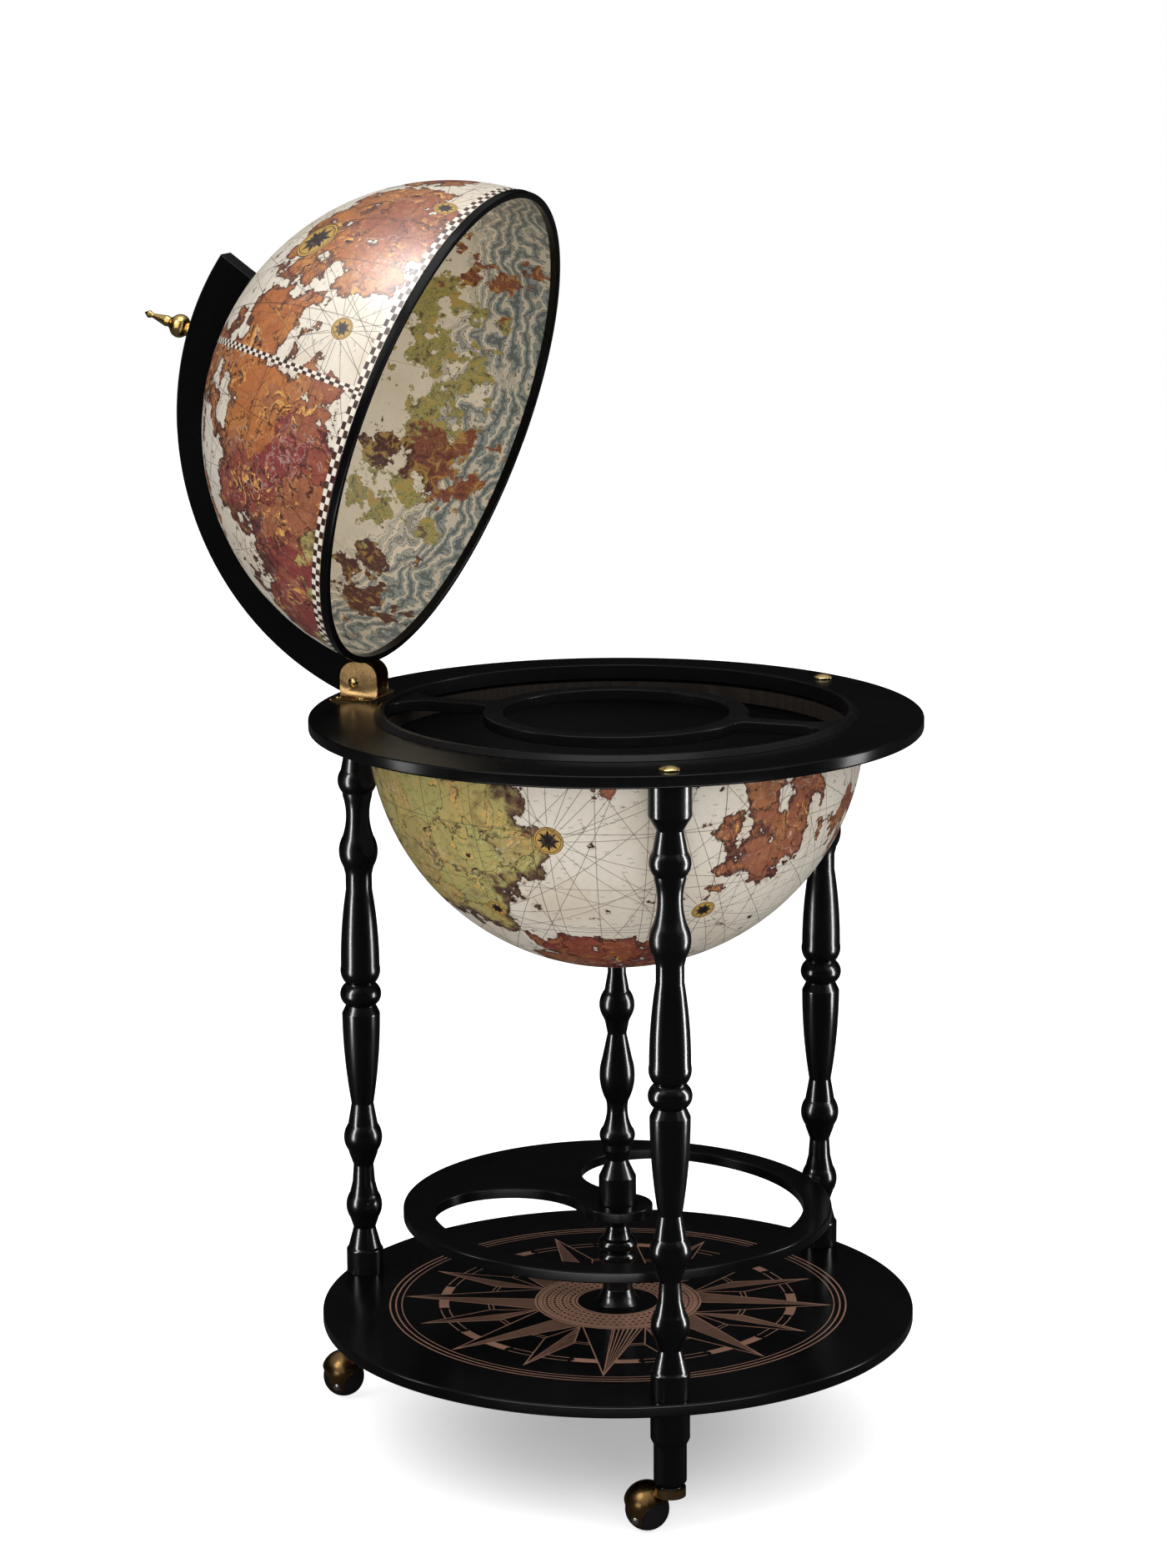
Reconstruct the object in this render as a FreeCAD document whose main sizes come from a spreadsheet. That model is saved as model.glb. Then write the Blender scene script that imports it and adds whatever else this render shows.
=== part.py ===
"""Globe bar cabinet: a turned three-leg stand, a globe bowl and a hinged globe lid.

Millimetres, +Z up, origin on the floor under the column, hinge towards -X.
The lid is drawn shut and then swung open about its hinge pin.
"""
import FreeCAD, Part
import math
import os

import Sketcher

# Driving sizes, in millimetres and degrees. Every one is a cell of the spreadsheet.
SIZES = {
    # Stand: tray, legs and ring
    "tray_overhang": 16.5, "tray_top": 113.0, "tray_thickness": 10.0, "plate_edge": 1.2,
    "ring_overhang": 19.5, "ring_opening_inset": 9.5, "ring_top": 610.0, "ring_thickness": 10.0,
    "leg_clearance": 27.5, "leg_radius": 17.2, "leg_bolt_angle": 180.0,
    "leg_bolt_radius": 4.0, "leg_bolt_length": 50.0, "leg_cap_radius": 8.5, "leg_cap_height": 4.0,
    "flat_head_radius": 6.5, "flat_head_height": 1.3,
    "leg_stud_radius": 3.0, "leg_stud_up": 30.0, "leg_stud_down": 25.0, "bore_gap": 0.15,
    "foot_bottom": 42.6, "foot_radius": 15.5,
    # Column, tie rod and bottle rail
    "column_radius": 16.4, "column_base_radius": 19.4,
    "rod_radius": 4.0, "rod_end": 3.0, "rod_washer_radius": 9.0, "rod_washer_thickness": 1.5,
    "rod_nut_radius": 7.0, "rod_nut_height": 6.0,
    "rail_clearance": 51.0, "rail_top": 198.0, "rail_thickness": 9.0, "rail_rim_width": 23.5,
    "rail_hub_radius": 29.0, "rail_slot_end_angle": 62.3, "rail_turn": 152.0,
    # Globe bowl
    "globe_radius": 200.0, "globe_wall": 4.0, "bowl_centre_rise": 5.0,
    "collar_height": 12.0, "collar_width": 9.0, "collar_gap": 0.25,
    "bowl_screw_inset": 7.0, "bowl_screw_head_radius": 1.9, "bowl_screw_head_height": 2.0,
    "bowl_screw_radius": 1.2, "bowl_screw_length": 20.0, "bowl_screw_angle": 30.0,
    "shelf_top": 532.0, "shelf_thickness": 5.0, "shelf_gap": 0.2,
    # Glass holder let into the ring
    "holder_gap": 0.3, "holder_wall": 4.0, "holder_lip_reach": 4.8, "holder_lip_height": 4.5,
    "holder_lip_flat": 3.0, "holder_web_rise": 1.5, "holder_web_thickness": 9.0,
    "well_radius": 91.0, "hub_width": 16.0, "arm_width": 17.0,
    "arm_flare_radius": 26.0, "arm_root_radius": 12.0,
    # Globe lid and meridian arc
    "lid_centre_drop": 3.0, "lid_gap": 0.3, "rim_height": 7.0, "rim_overhang": 0.8, "rim_inset": 1.0,
    "arc_clearance": 4.5, "arc_width": 32.5, "arc_thickness": 20.0, "arc_overrun_angle": 17.3,
    "knuckle_radius": 11.2, "heel_length": 6.0, "lid_open_angle": 72.0,
    "bush_radius": 9.0, "wedge_low": 22.0, "wedge_high": 38.0, "wedge_width": 16.0,
    "wedge_screw_radius": 2.0, "wedge_screw_head_radius": 4.5, "wedge_screw_head_height": 2.0,
    "wedge_screw_bite": 22.0, "seat_gap": 0.05,
    # Finial
    "finial_height": 45.0, "finial_radius": 9.3, "finial_stud_radius": 3.0,
    "finial_washer_radius": 8.0, "finial_washer_thickness": 1.0,
    "finial_nut_radius": 5.5, "finial_nut_height": 4.0, "finial_stud_end": 2.0,
    # Hinge
    "pin_inset": 3.5, "pin_rise": 13.0, "pin_radius": 3.0, "pin_gap": 0.1,
    "ear_outer_reach": 12.0, "ear_inner_reach": 20.7, "ear_height": 30.0, "ear_corner_radius": 13.0,
    "ear_thickness": 2.0, "ear_gap": 0.3,
    "hinge_plate_outer": 18.5, "hinge_plate_inner": 21.5, "hinge_plate_half_width": 27.0,
    "hinge_plate_thickness": 1.5, "hinge_plate_corner_radius": 6.0,
    "pin_head_radius": 4.7, "pin_head_height": 2.2, "pin_nut_radius": 4.7, "pin_nut_height": 3.0,
    "hinge_screw_spread": 10.0, "hinge_screw_side": 20.5, "hinge_screw_radius": 1.4,
    "hinge_screw_head_radius": 2.8, "hinge_screw_head_height": 1.1, "hinge_screw_bite": 8.0,
    # Casters
    "ball_radius": 17.4, "caster_trail": 21.0, "axle_tilt": 14.5, "ball_flat": 1.0,
    "hood_radius": 18.9, "hood_rise": 3.7, "hood_wall": 1.1, "tongue_radius": 5.7,
    "tongue_flare": 10.8, "tongue_spread": 21.0,
    "cup_radius": 12.3, "cup_wall": 1.6, "cup_bottom": 33.0, "cup_top": 40.2,
    "cup_floor_top": 38.0, "cup_floor_thickness": 1.4,
    "stem_radius": 4.0, "stem_top": 68.0, "stem_cap_radius": 9.0, "stem_rivet_radius": 5.2,
    "stem_rivet_height": 1.4, "socket_wall": 1.5, "socket_gap": 0.1, "socket_top": 72.0,
    "socket_flange_radius": 8.0, "socket_flange_thickness": 1.0, "swivel_gap": 0.3,
    "axle_radius": 2.0, "axle_head_radius": 3.4, "axle_head_height": 1.8,
    "axle_tail_radius": 3.0, "axle_tail_height": 1.0, "axle_tail_gap": 0.2,
    "caster_left_turn": 5.0, "caster_front_turn": -12.0, "caster_right_turn": 8.0,
    # How far a cut runs past what it cuts
    "overrun": 40.0,
}

# Turned outlines, bottom to top: share of the height, share of the radius and the arc
# to the next point as a share of its chord (plus bulges out, minus hollows in).
LEG_PROFILE_shares = (
    (0.0, 0.901, 0), (0.0427, 0.901, 0), (0.0468, 0.808, 0), (0.0817, 0.541, 0),
    (0.1, 0.709, 0.144), (0.1444, 0.692, 0), (0.1643, 0.552, 0), (0.195, 0.49, 0),
    (0.2156, 0.698, 0), (0.2207, 0.727, 0.16), (0.2675, 0.727, 0), (0.3047, 0.541, 0.02),
    (0.4661, 0.924, 0), (0.4811, 0.721, 0.27), (0.5191, 0.703, 0.13), (0.5503, 0.942, 0.02),
    (0.6838, 0.64, 0), (0.7105, 0.64, 0), (0.7244, 0.733, 0.134), (0.7772, 0.75, -0.08),
    (0.847, 0.709, 0), (0.8542, 0.733, 0.175), (0.8922, 0.785, 0), (0.9257, 0.599, 0),
    (0.9487, 0.977, 0), (1.0, 0.977, 0),
)
FOOT_PROFILE_shares = (
    (0.0, 0.71, 0), (0.0464, 0.839, 0), (0.5464, 0.839, 0), (0.6258, 1.0, 0), (1.0, 1.0, 0),
)
COLUMN_LOW_PROFILE_shares = (
    (0.0, 1.0, -0.08), (0.1737, 0.639, 0), (0.4, 0.66, 0), (0.4566, 0.67, 0.32),
    (0.59, 0.66, 0.32), (0.735, 0.66, -0.06), (0.879, 0.459, 0), (1.0, 0.50, 0),
)
COLUMN_HIGH_PROFILE_shares = (
    (0.0, 0.945, 0), (0.1135, 0.939, 0), (0.1826, 0.524, 0), (0.2242, 0.713, 0),
    (0.2512, 0.72, 0.2), (0.314, 0.75, -0.08), (0.425, 0.555, 0.1), (0.6, 0.75, 0),
    (0.7014, 0.476, 0), (0.7527, 0.604, 0), (0.77, 0.7, 0.16), (0.878, 0.62, 0),
    (0.95, 0.457, 0), (1.0, 0.457, 0),
)
FINIAL_PROFILE_shares = (
    (0.0, 0.75, 0), (0.04, 0.75, 0), (0.1, 0.58, 0.3), (0.4, 0.66, 0), (0.46, 0.42, 0),
    (0.53, 0.5, 0), (0.68, 0.34, 0), (0.82, 0.2, 0), (0.9, 0.36, 0), (1.0, 0.0, 0),
)
ROUND_share = 0.2071
FLARE_share = 0.25
HALF_share = 0.5

doc = FreeCAD.newDocument("GlobeBar")
V = FreeCAD.Vector


class Length:
    """A size together with the spreadsheet formula that gives it."""

    def __init__(self, value, formula):
        self.value = float(value)
        self.formula = formula

    @staticmethod
    def of(item):
        return item if isinstance(item, Length) else Length(item, repr(float(item)))

    def _with(self, other, sign, value):
        return Length(value, f"({self.formula} {sign} {other.formula})")

    def __add__(self, other):
        other = Length.of(other)
        return self._with(other, "+", self.value + other.value)

    def __sub__(self, other):
        other = Length.of(other)
        return self._with(other, "-", self.value - other.value)

    def __mul__(self, other):
        other = Length.of(other)
        return self._with(other, "*", self.value * other.value)

    def __truediv__(self, other):
        other = Length.of(other)
        return self._with(other, "/", self.value / other.value)

    def __neg__(self):
        return Length(-self.value, f"(0 - {self.formula})")


ZERO = Length(0, "0")


def root(item):
    return Length(math.sqrt(item.value), f"sqrt({item.formula})")


def cosine(item):
    return Length(math.cos(math.radians(item.value)), f"cos({item.formula})")


def sine(item):
    return Length(math.sin(math.radians(item.value)), f"sin({item.formula})")


def leg_of(hypotenuse, side):
    """Other short side of a right triangle."""
    return root(hypotenuse * hypotenuse - side * side)


def dome(radius, height):
    """Sphere radius of a domed head of the given radius and height."""
    return (radius * radius + height * height) / (height * 2)


def fill_sheet():
    """Write the sizes to the spreadsheet and give them back as Lengths."""
    sheet = doc.addObject("Spreadsheet::Sheet", "Sizes")
    for row, (name, value) in enumerate(SIZES.items(), 1):
        sheet.set(f"A{row}", name)
        sheet.set(f"B{row}", str(value))
        sheet.setAlias(f"B{row}", name)
    doc.recompute()
    return {name: Length(sheet.get(name), f"Sizes.{name}") for name in SIZES}


class Names:
    """Attribute access to the sheet's sizes."""

    def __init__(self, table):
        self.__dict__.update(table)


s = Names(fill_sheet())


def new_body(name):
    body = doc.addObject("PartDesign::Body", name)
    body.Label = name
    body.AllowCompound = True
    return body


def sketch_on(body, role, name, offset=(ZERO, ZERO, ZERO), turn=None):
    """Sketch on an origin plane, shifted by offset and turned about the plane's own X."""
    plane = next(o for o in body.Origin.OriginFeatures if o.Role == role)
    sketch = body.newObject("Sketcher::SketchObject", name)
    sketch.AttachmentSupport = [(plane, "")]
    sketch.MapMode = "FlatFace"
    rotation = FreeCAD.Rotation(V(1, 0, 0), turn.value if turn else 0)
    sketch.AttachmentOffset = FreeCAD.Placement(V(*(o.value for o in offset)), rotation)
    for axis, length in zip("xyz", offset):
        if length is not ZERO:
            sketch.setExpression(f"AttachmentOffset.Base.{axis}", length.formula)
    if turn:
        sketch.setExpression("AttachmentOffset.Rotation.Angle", turn.formula)
    return sketch


def constrain(sketch, kind, *ends, length):
    """Add one dimension and bind it to its formula."""
    index = sketch.addConstraint(Sketcher.Constraint(kind, *ends, length.value))
    sketch.setExpression(f"Constraints[{index}]", length.formula)


def pin_point(sketch, geo, end, x, y):
    """Fix a point by its distances from the sketch's axes."""
    for kind, axis, length in (("DistanceX", -2, x), ("DistanceY", -1, y)):
        if length is ZERO:
            sketch.addConstraint(Sketcher.Constraint("PointOnObject", geo, end, axis))
        else:
            constrain(sketch, kind, -1, 1, geo, end, length=length)


def arc_radius(start, stop, bend):
    """Radius of the arc over a chord: bend is a signed radius or a share of the chord."""
    if isinstance(bend, Length):
        return bend if bend.value > 0 else -bend
    width, height = stop[0] - start[0], stop[1] - start[1]
    share = abs(bend)
    return root(width * width + height * height) * (1 / (8 * share) + share / 2)


def arc_edge(start, stop, bend, radius):
    """Arc from start to stop, on the right of the chord for a plus bend."""
    ax, ay, bx, by = (c.value for c in (*start[:2], *stop[:2]))
    chord = math.hypot(bx - ax, by - ay)
    side = 1 if (bend.value if isinstance(bend, Length) else bend) > 0 else -1
    rise = math.sqrt(max(radius.value ** 2 - chord ** 2 / 4, 0))
    centre = V((ax + bx) / 2 - side * rise * (by - ay) / chord,
               (ay + by) / 2 + side * rise * (bx - ax) / chord, 0)
    angles = [math.atan2(y - centre.y, x - centre.x) for x, y in ((ax, ay), (bx, by))]
    if side < 0:
        angles.reverse()
    if angles[1] < angles[0]:
        angles[1] += 2 * math.pi
    return Part.ArcOfCircle(Part.Circle(centre, V(0, 0, 1), radius.value), *angles), side


def outline(sketch, points):
    """Close a profile through (x, y, bend) points, anticlockwise round the material."""
    edges = []
    for start, stop in zip(points, points[1:] + points[:1]):
        bend = start[2] if len(start) > 2 else 0
        if isinstance(bend, Length) or bend:
            radius = arc_radius(start, stop, bend)
            curve, side = arc_edge(start, stop, bend, radius)
            geo = sketch.addGeometry(curve)
            edges.append((geo, 1, 2, radius) if side > 0 else (geo, 2, 1, radius))
        else:
            line = Part.LineSegment(V(start[0].value, start[1].value, 0),
                                    V(stop[0].value, stop[1].value, 0))
            edges.append((sketch.addGeometry(line), 1, 2, None))
    for (geo, head, _, radius), before, point in zip(edges, edges[-1:] + edges[:-1], points):
        sketch.addConstraint(Sketcher.Constraint("Coincident", before[0], before[2], geo, head))
        pin_point(sketch, geo, head, point[0], point[1])
    for geo, _, _, radius in edges:
        if radius:
            constrain(sketch, "Radius", geo, length=radius)
    return sketch


def circle(sketch, x, y, radius):
    geo = sketch.addGeometry(Part.Circle(V(x.value, y.value, 0), V(0, 0, 1), radius.value))
    pin_point(sketch, geo, 3, x, y)
    constrain(sketch, "Radius", geo, length=radius)
    return sketch


def hexagon(sketch, radius):
    """Nut outline round the sketch's origin, one flat to the right."""
    corners = []
    for step in range(6):
        angle = Length.of(360 / 6) * (step - HALF_share)
        corners.append((radius * cosine(angle), radius * sine(angle)))
    return outline(sketch, corners)


def pad(body, sketch, length, midplane=False, reverse=False):
    feature = body.newObject("PartDesign::Pad", sketch.Name + "_pad")
    feature.Profile = sketch
    feature.Length = length.value
    feature.setExpression("Length", length.formula)
    feature.SideType = "Symmetric" if midplane else "One side"
    feature.Reversed = reverse
    return feature


def cut(body, sketch, length=None, reverse=False):
    """Pocket to a depth, or right through both ways without one."""
    doc.recompute()
    before = body.Shape.Volume
    feature = body.newObject("PartDesign::Pocket", sketch.Name + "_cut")
    feature.Profile = sketch
    if length is None:
        feature.Type = "ThroughAll"
        feature.SideType = "Symmetric"
    else:
        feature.Length = length.value
        feature.setExpression("Length", length.formula)
    feature.Reversed = reverse
    doc.recompute()
    if not body.Shape.Volume < before:
        raise RuntimeError(f"{feature.Name} cuts nothing")
    return feature


def spin(body, sketch, groove=False):
    kind = "Groove" if groove else "Revolution"
    feature = body.newObject(f"PartDesign::{kind}", sketch.Name + "_turn")
    feature.Profile = sketch
    feature.ReferenceAxis = (sketch, ["V_Axis"])
    feature.Angle = 360
    return feature


def pattern(body, feature, count):
    """Repeat a feature evenly about the body's own Z axis."""
    axis = next(o for o in body.Origin.OriginFeatures if o.Role == "Z_Axis")
    ring = body.newObject("PartDesign::PolarPattern", feature.Name + "_ring")
    ring.Originals = [feature]
    ring.Axis = (axis, [""])
    ring.Angle = 360
    ring.Occurrences = count
    body.Tip = ring
    doc.recompute()
    return ring


def round_edges(body, radius, choose):
    """Fillet the edges of the body's last feature that the test picks."""
    doc.recompute()
    base = body.Tip
    names = [f"Edge{i}" for i, e in enumerate(base.Shape.Edges, 1) if choose(e)]
    if not names:
        raise RuntimeError(f"{body.Name} has no such edge")
    feature = body.newObject("PartDesign::Fillet", f"{body.Name}_round{len(body.Group)}")
    feature.Base = (base, names)
    feature.Radius = radius.value
    feature.setExpression("Radius", radius.formula)
    return feature


def upright(edge):
    """True for a straight edge along Z."""
    ends = [v.Point for v in edge.Vertexes]
    return len(ends) == 2 and ends[0].sub(ends[1]).cross(V(0, 0, 1)).Length < 1e-6


def turned(name, points, at=ZERO):
    """Piece turned about Z, or about an upright line at the given reach."""
    body = new_body(name)
    spin(body, outline(sketch_on(body, "XZ_Plane", name + "_profile", (at, ZERO, ZERO)), points))
    return body


def profile(shares, bottom, height, radius):
    """Outer points of a turned piece from its table of shares."""
    return [(radius * r if r else ZERO, bottom + height * h, bend) for h, r, bend in shares]


def bored(outer, low=None, high=None, through=None):
    """Close an outer profile round a through bore or blind (radius, depth) end bores."""
    bottom, top = outer[0][1], outer[-1][1]
    if through:
        return [(through, bottom)] + outer + [(through, top)]
    points = [(low[0] if low else ZERO, bottom)] + outer
    if high:
        points += [(high[0], top), (high[0], top - high[1]), (ZERO, top - high[1])]
    elif outer[-1][0] is not ZERO:
        points += [(ZERO, top)]
    if low:
        points += [(ZERO, bottom + low[1]), (low[0], bottom + low[1])]
    return points


def disc(radius, bottom, thickness, bore, edge):
    """Round plate with a bore and bevelled rims."""
    top = bottom + thickness
    return [(bore, bottom), (radius - edge, bottom), (radius, bottom + edge),
            (radius, top - edge), (radius - edge, top), (bore, top)]


def place(body, x, y, turn=None, tilt=None, z=ZERO):
    """Stand a body at (x, y, z), turned about Z after a tilt about X."""
    spin_z = FreeCAD.Rotation(V(0, 0, 1), turn.value if turn else 0)
    tip_x = FreeCAD.Rotation(V(1, 0, 0), tilt.value if tilt else 0)
    body.Placement = FreeCAD.Placement(V(x.value, y.value, z.value), spin_z * tip_x)
    for axis, length in (("x", x), ("y", y), ("z", z)):
        body.setExpression(f"Placement.Base.{axis}", length.formula)
    if turn and not tilt:
        body.setExpression("Placement.Rotation.Angle", turn.formula)


# Heights and radii that follow from the driving sizes
leg_circle = s.globe_radius + s.leg_clearance
tray_radius = leg_circle + s.tray_overhang
ring_radius = leg_circle + s.ring_overhang
ring_opening = s.globe_radius - s.ring_opening_inset
rail_radius = leg_circle - s.rail_clearance
bowl_screw_circle = s.globe_radius - s.bowl_screw_inset
arc_inner = s.globe_radius + s.arc_clearance
pin_reach = leg_circle - s.pin_inset
tray_under = s.tray_top - s.tray_thickness
ring_under = s.ring_top - s.ring_thickness
rail_under = s.rail_top - s.rail_thickness
bowl_z = ring_under + s.bowl_centre_rise
bowl_bottom = bowl_z - s.globe_radius
globe_inner = s.globe_radius - s.globe_wall
lid_z = s.ring_top - s.lid_centre_drop
arc_outer = arc_inner + s.arc_width
rod_bore = s.rod_radius + s.bore_gap
bolt_bore = s.leg_bolt_radius + s.bore_gap
stud_bore = s.leg_stud_radius + s.bore_gap
finial_bore = s.finial_stud_radius + s.bore_gap
pin_x, pin_z = -pin_reach, s.ring_top + s.pin_rise
LEG_ANGLES = {"left": s.leg_bolt_angle, "front": s.leg_bolt_angle + 120, "right": s.leg_bolt_angle - 120}


def leg_spot(angle):
    return leg_circle * cosine(angle), leg_circle * sine(angle)


# Base tray and horizon ring: bevelled plates bored for the legs
tray = turned("base_tray", disc(tray_radius, tray_under, s.tray_thickness, rod_bore, s.plate_edge))
hole = circle(sketch_on(tray, "XY_Plane", "tray_stud_hole"), -leg_circle, ZERO, stud_bore)
pattern(tray, cut(tray, hole), 3)

ring = turned("horizon_ring", disc(ring_radius, ring_under, s.ring_thickness, ring_opening,
                                   s.plate_edge))
hole = circle(sketch_on(ring, "XY_Plane", "ring_bolt_hole"), -leg_circle, ZERO, bolt_bore)
pattern(ring, cut(ring, hole), 3)
hole = circle(sketch_on(ring, "XY_Plane", "ring_screw_hole"),
              bowl_screw_circle * cosine(s.bowl_screw_angle),
              bowl_screw_circle * sine(s.bowl_screw_angle), s.bowl_screw_head_radius + s.seat_gap)
pattern(ring, cut(ring, hole), 6)

# Turned legs between tray and ring, and their feet under the tray
leg_points = bored(profile(LEG_PROFILE_shares, s.tray_top, ring_under - s.tray_top, s.leg_radius),
                   low=(stud_bore, s.leg_stud_up + s.bore_gap),
                   high=(bolt_bore, s.leg_bolt_length))
foot_points = bored(profile(FOOT_PROFILE_shares, s.foot_bottom, tray_under - s.foot_bottom,
                            s.foot_radius),
                    low=(s.stem_radius + s.socket_gap + s.socket_wall + s.seat_gap,
                         s.socket_top - s.foot_bottom),
                    high=(stud_bore, s.leg_stud_down + s.bore_gap))
for side, angle in LEG_ANGLES.items():
    x, y = leg_spot(angle)
    place(turned(f"leg_{side}", leg_points), x, y)
    place(turned(f"foot_{side}", foot_points), x, y)

stud_low, stud_high = tray_under - s.leg_stud_down, s.tray_top + s.leg_stud_up
studs = turned("leg_studs", [(ZERO, stud_low), (s.leg_stud_radius, stud_low),
                             (s.leg_stud_radius, stud_high), (ZERO, stud_high)], -leg_circle)
pattern(studs, studs.Tip, 3)

# Leg bolts: two with domed brass caps on the ring, one flat under the hinge
shank_end = s.ring_top - s.leg_bolt_length
for side in ("front", "right"):
    cap_top = s.ring_top + s.leg_cap_height
    bolt = turned(f"leg_bolt_{side}", [
        (ZERO, shank_end), (s.leg_bolt_radius, shank_end), (s.leg_bolt_radius, s.ring_top),
        (s.leg_cap_radius, s.ring_top),
        (s.leg_cap_radius, s.ring_top + s.plate_edge,
         dome(s.leg_cap_radius, s.leg_cap_height - s.plate_edge)),
        (ZERO, cap_top)])
    place(bolt, *leg_spot(LEG_ANGLES[side]))
flat_top = s.ring_top + s.flat_head_height
place(turned("leg_bolt_left", [
    (ZERO, shank_end), (s.leg_bolt_radius, shank_end), (s.leg_bolt_radius, s.ring_top),
    (s.flat_head_radius, s.ring_top), (s.flat_head_radius, flat_top), (ZERO, flat_top)]),
    *leg_spot(LEG_ANGLES["left"]))

# Column in two turned lengths clamped round the bottle rail by one tie rod
low_points = profile(COLUMN_LOW_PROFILE_shares, s.tray_top, rail_under - s.tray_top,
                     s.column_base_radius)
turned("column_lower", bored(low_points, through=rod_bore))
high_points = profile(COLUMN_HIGH_PROFILE_shares, s.rail_top, bowl_bottom - s.rail_top,
                      s.column_radius)
turned("column_upper", bored(high_points, through=rod_bore))

washer_low = tray_under - s.rod_washer_thickness
bowl_seat = bowl_z - leg_of(globe_inner, s.rod_washer_radius)
washer_high = bowl_seat + s.rod_washer_thickness
rod_low = washer_low - s.rod_nut_height - s.rod_end
rod_high = washer_high + s.rod_nut_height + s.rod_end
turned("tie_rod", [(ZERO, rod_low), (s.rod_radius, rod_low), (s.rod_radius, rod_high),
                   (ZERO, rod_high)])


def nut_and_washer(name, washer_radius, washer_z, washer_thickness, nut_radius, nut_z, nut_height,
                   bore, reverse=False):
    """Hexagon nut on its washer, as two solids in one piece."""
    body = new_body(name)
    sketch = sketch_on(body, "XY_Plane", name + "_washer", (ZERO, ZERO, washer_z))
    circle(sketch, ZERO, ZERO, washer_radius)
    circle(sketch, ZERO, ZERO, bore)
    pad(body, sketch, washer_thickness)
    sketch = sketch_on(body, "XY_Plane", name + "_nut", (ZERO, ZERO, nut_z))
    hexagon(sketch, nut_radius)
    circle(sketch, ZERO, ZERO, bore)
    pad(body, sketch, nut_height)
    return body


nut_and_washer("rod_nut_lower", s.rod_washer_radius, washer_low, s.rod_washer_thickness,
               s.rod_nut_radius, washer_low - s.rod_nut_height, s.rod_nut_height, rod_bore)
nut_and_washer("rod_nut_upper", s.rod_washer_radius, bowl_seat, s.rod_washer_thickness,
               s.rod_nut_radius, washer_high, s.rod_nut_height, rod_bore)

# Bottle rail: a plate with one long round-ended slot about its hub
rail = turned("bottle_rail", disc(rail_radius, rail_under, s.rail_thickness, rod_bore,
                                  s.plate_edge))
slot_outer = rail_radius - s.rail_rim_width
slot_mid, slot_half = (slot_outer + s.rail_hub_radius) / 2, (slot_outer - s.rail_hub_radius) / 2
slot_cos, slot_sin = cosine(s.rail_slot_end_angle), sine(s.rail_slot_end_angle)
tip_x = slot_mid * slot_cos + slot_half * slot_sin
tip_y = slot_mid * slot_sin - slot_half * slot_cos
outline(sketch_on(rail, "XY_Plane", "rail_slot"), [
    (slot_outer * slot_cos, slot_outer * slot_sin, slot_outer),
    (-slot_outer, ZERO, slot_outer),
    (slot_outer * slot_cos, -(slot_outer * slot_sin), slot_half),
    (tip_x, -tip_y, slot_half),
    (s.rail_hub_radius * slot_cos, -(s.rail_hub_radius * slot_sin), -s.rail_hub_radius),
    (-s.rail_hub_radius, ZERO, -s.rail_hub_radius),
    (s.rail_hub_radius * slot_cos, s.rail_hub_radius * slot_sin, slot_half),
    (tip_x, tip_y, slot_half)])
cut(rail, doc.rail_slot)
place(rail, ZERO, ZERO, s.rail_turn)

# Globe bowl under the ring, the collar that carries it and the shelf inside
rim_out, rim_in = (leg_of(r, s.bowl_centre_rise) for r in (s.globe_radius, globe_inner))
turned("lower_hemisphere", [
    (rod_bore, bowl_z - leg_of(s.globe_radius, rod_bore), s.globe_radius),
    (rim_out, ring_under), (rim_in, ring_under, -globe_inner),
    (rod_bore, bowl_z - leg_of(globe_inner, rod_bore))])

collar_low = ring_under - s.collar_height
collar_out = leg_of(globe_inner, bowl_z - collar_low) - s.collar_gap
collar_in = collar_out - s.collar_width
collar = turned("bowl_collar", [(collar_in, collar_low), (collar_out, collar_low),
                                (collar_out, ring_under), (collar_in, ring_under)])
hole = circle(sketch_on(collar, "XY_Plane", "collar_screw_hole"),
              bowl_screw_circle * cosine(s.bowl_screw_angle),
              bowl_screw_circle * sine(s.bowl_screw_angle), s.bowl_screw_radius + s.seat_gap)
pattern(collar, cut(collar, hole), 6)

screw_end = s.ring_top - s.bowl_screw_length
screw_neck = s.ring_top - s.bowl_screw_head_height
screws = turned("bowl_screws", [
    (ZERO, screw_end), (s.bowl_screw_radius, screw_end), (s.bowl_screw_radius, screw_neck),
    (s.bowl_screw_head_radius, screw_neck), (s.bowl_screw_head_radius, s.ring_top),
    (ZERO, s.ring_top)], bowl_screw_circle)
place(screws, ZERO, ZERO, s.bowl_screw_angle)
pattern(screws, screws.Tip, 6)

shelf_under = s.shelf_top - s.shelf_thickness
shelf_radius = leg_of(globe_inner, bowl_z - shelf_under) - s.shelf_gap
turned("bowl_shelf", [(ZERO, shelf_under), (shelf_radius, shelf_under),
                      (shelf_radius, s.shelf_top), (ZERO, s.shelf_top)])

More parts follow.
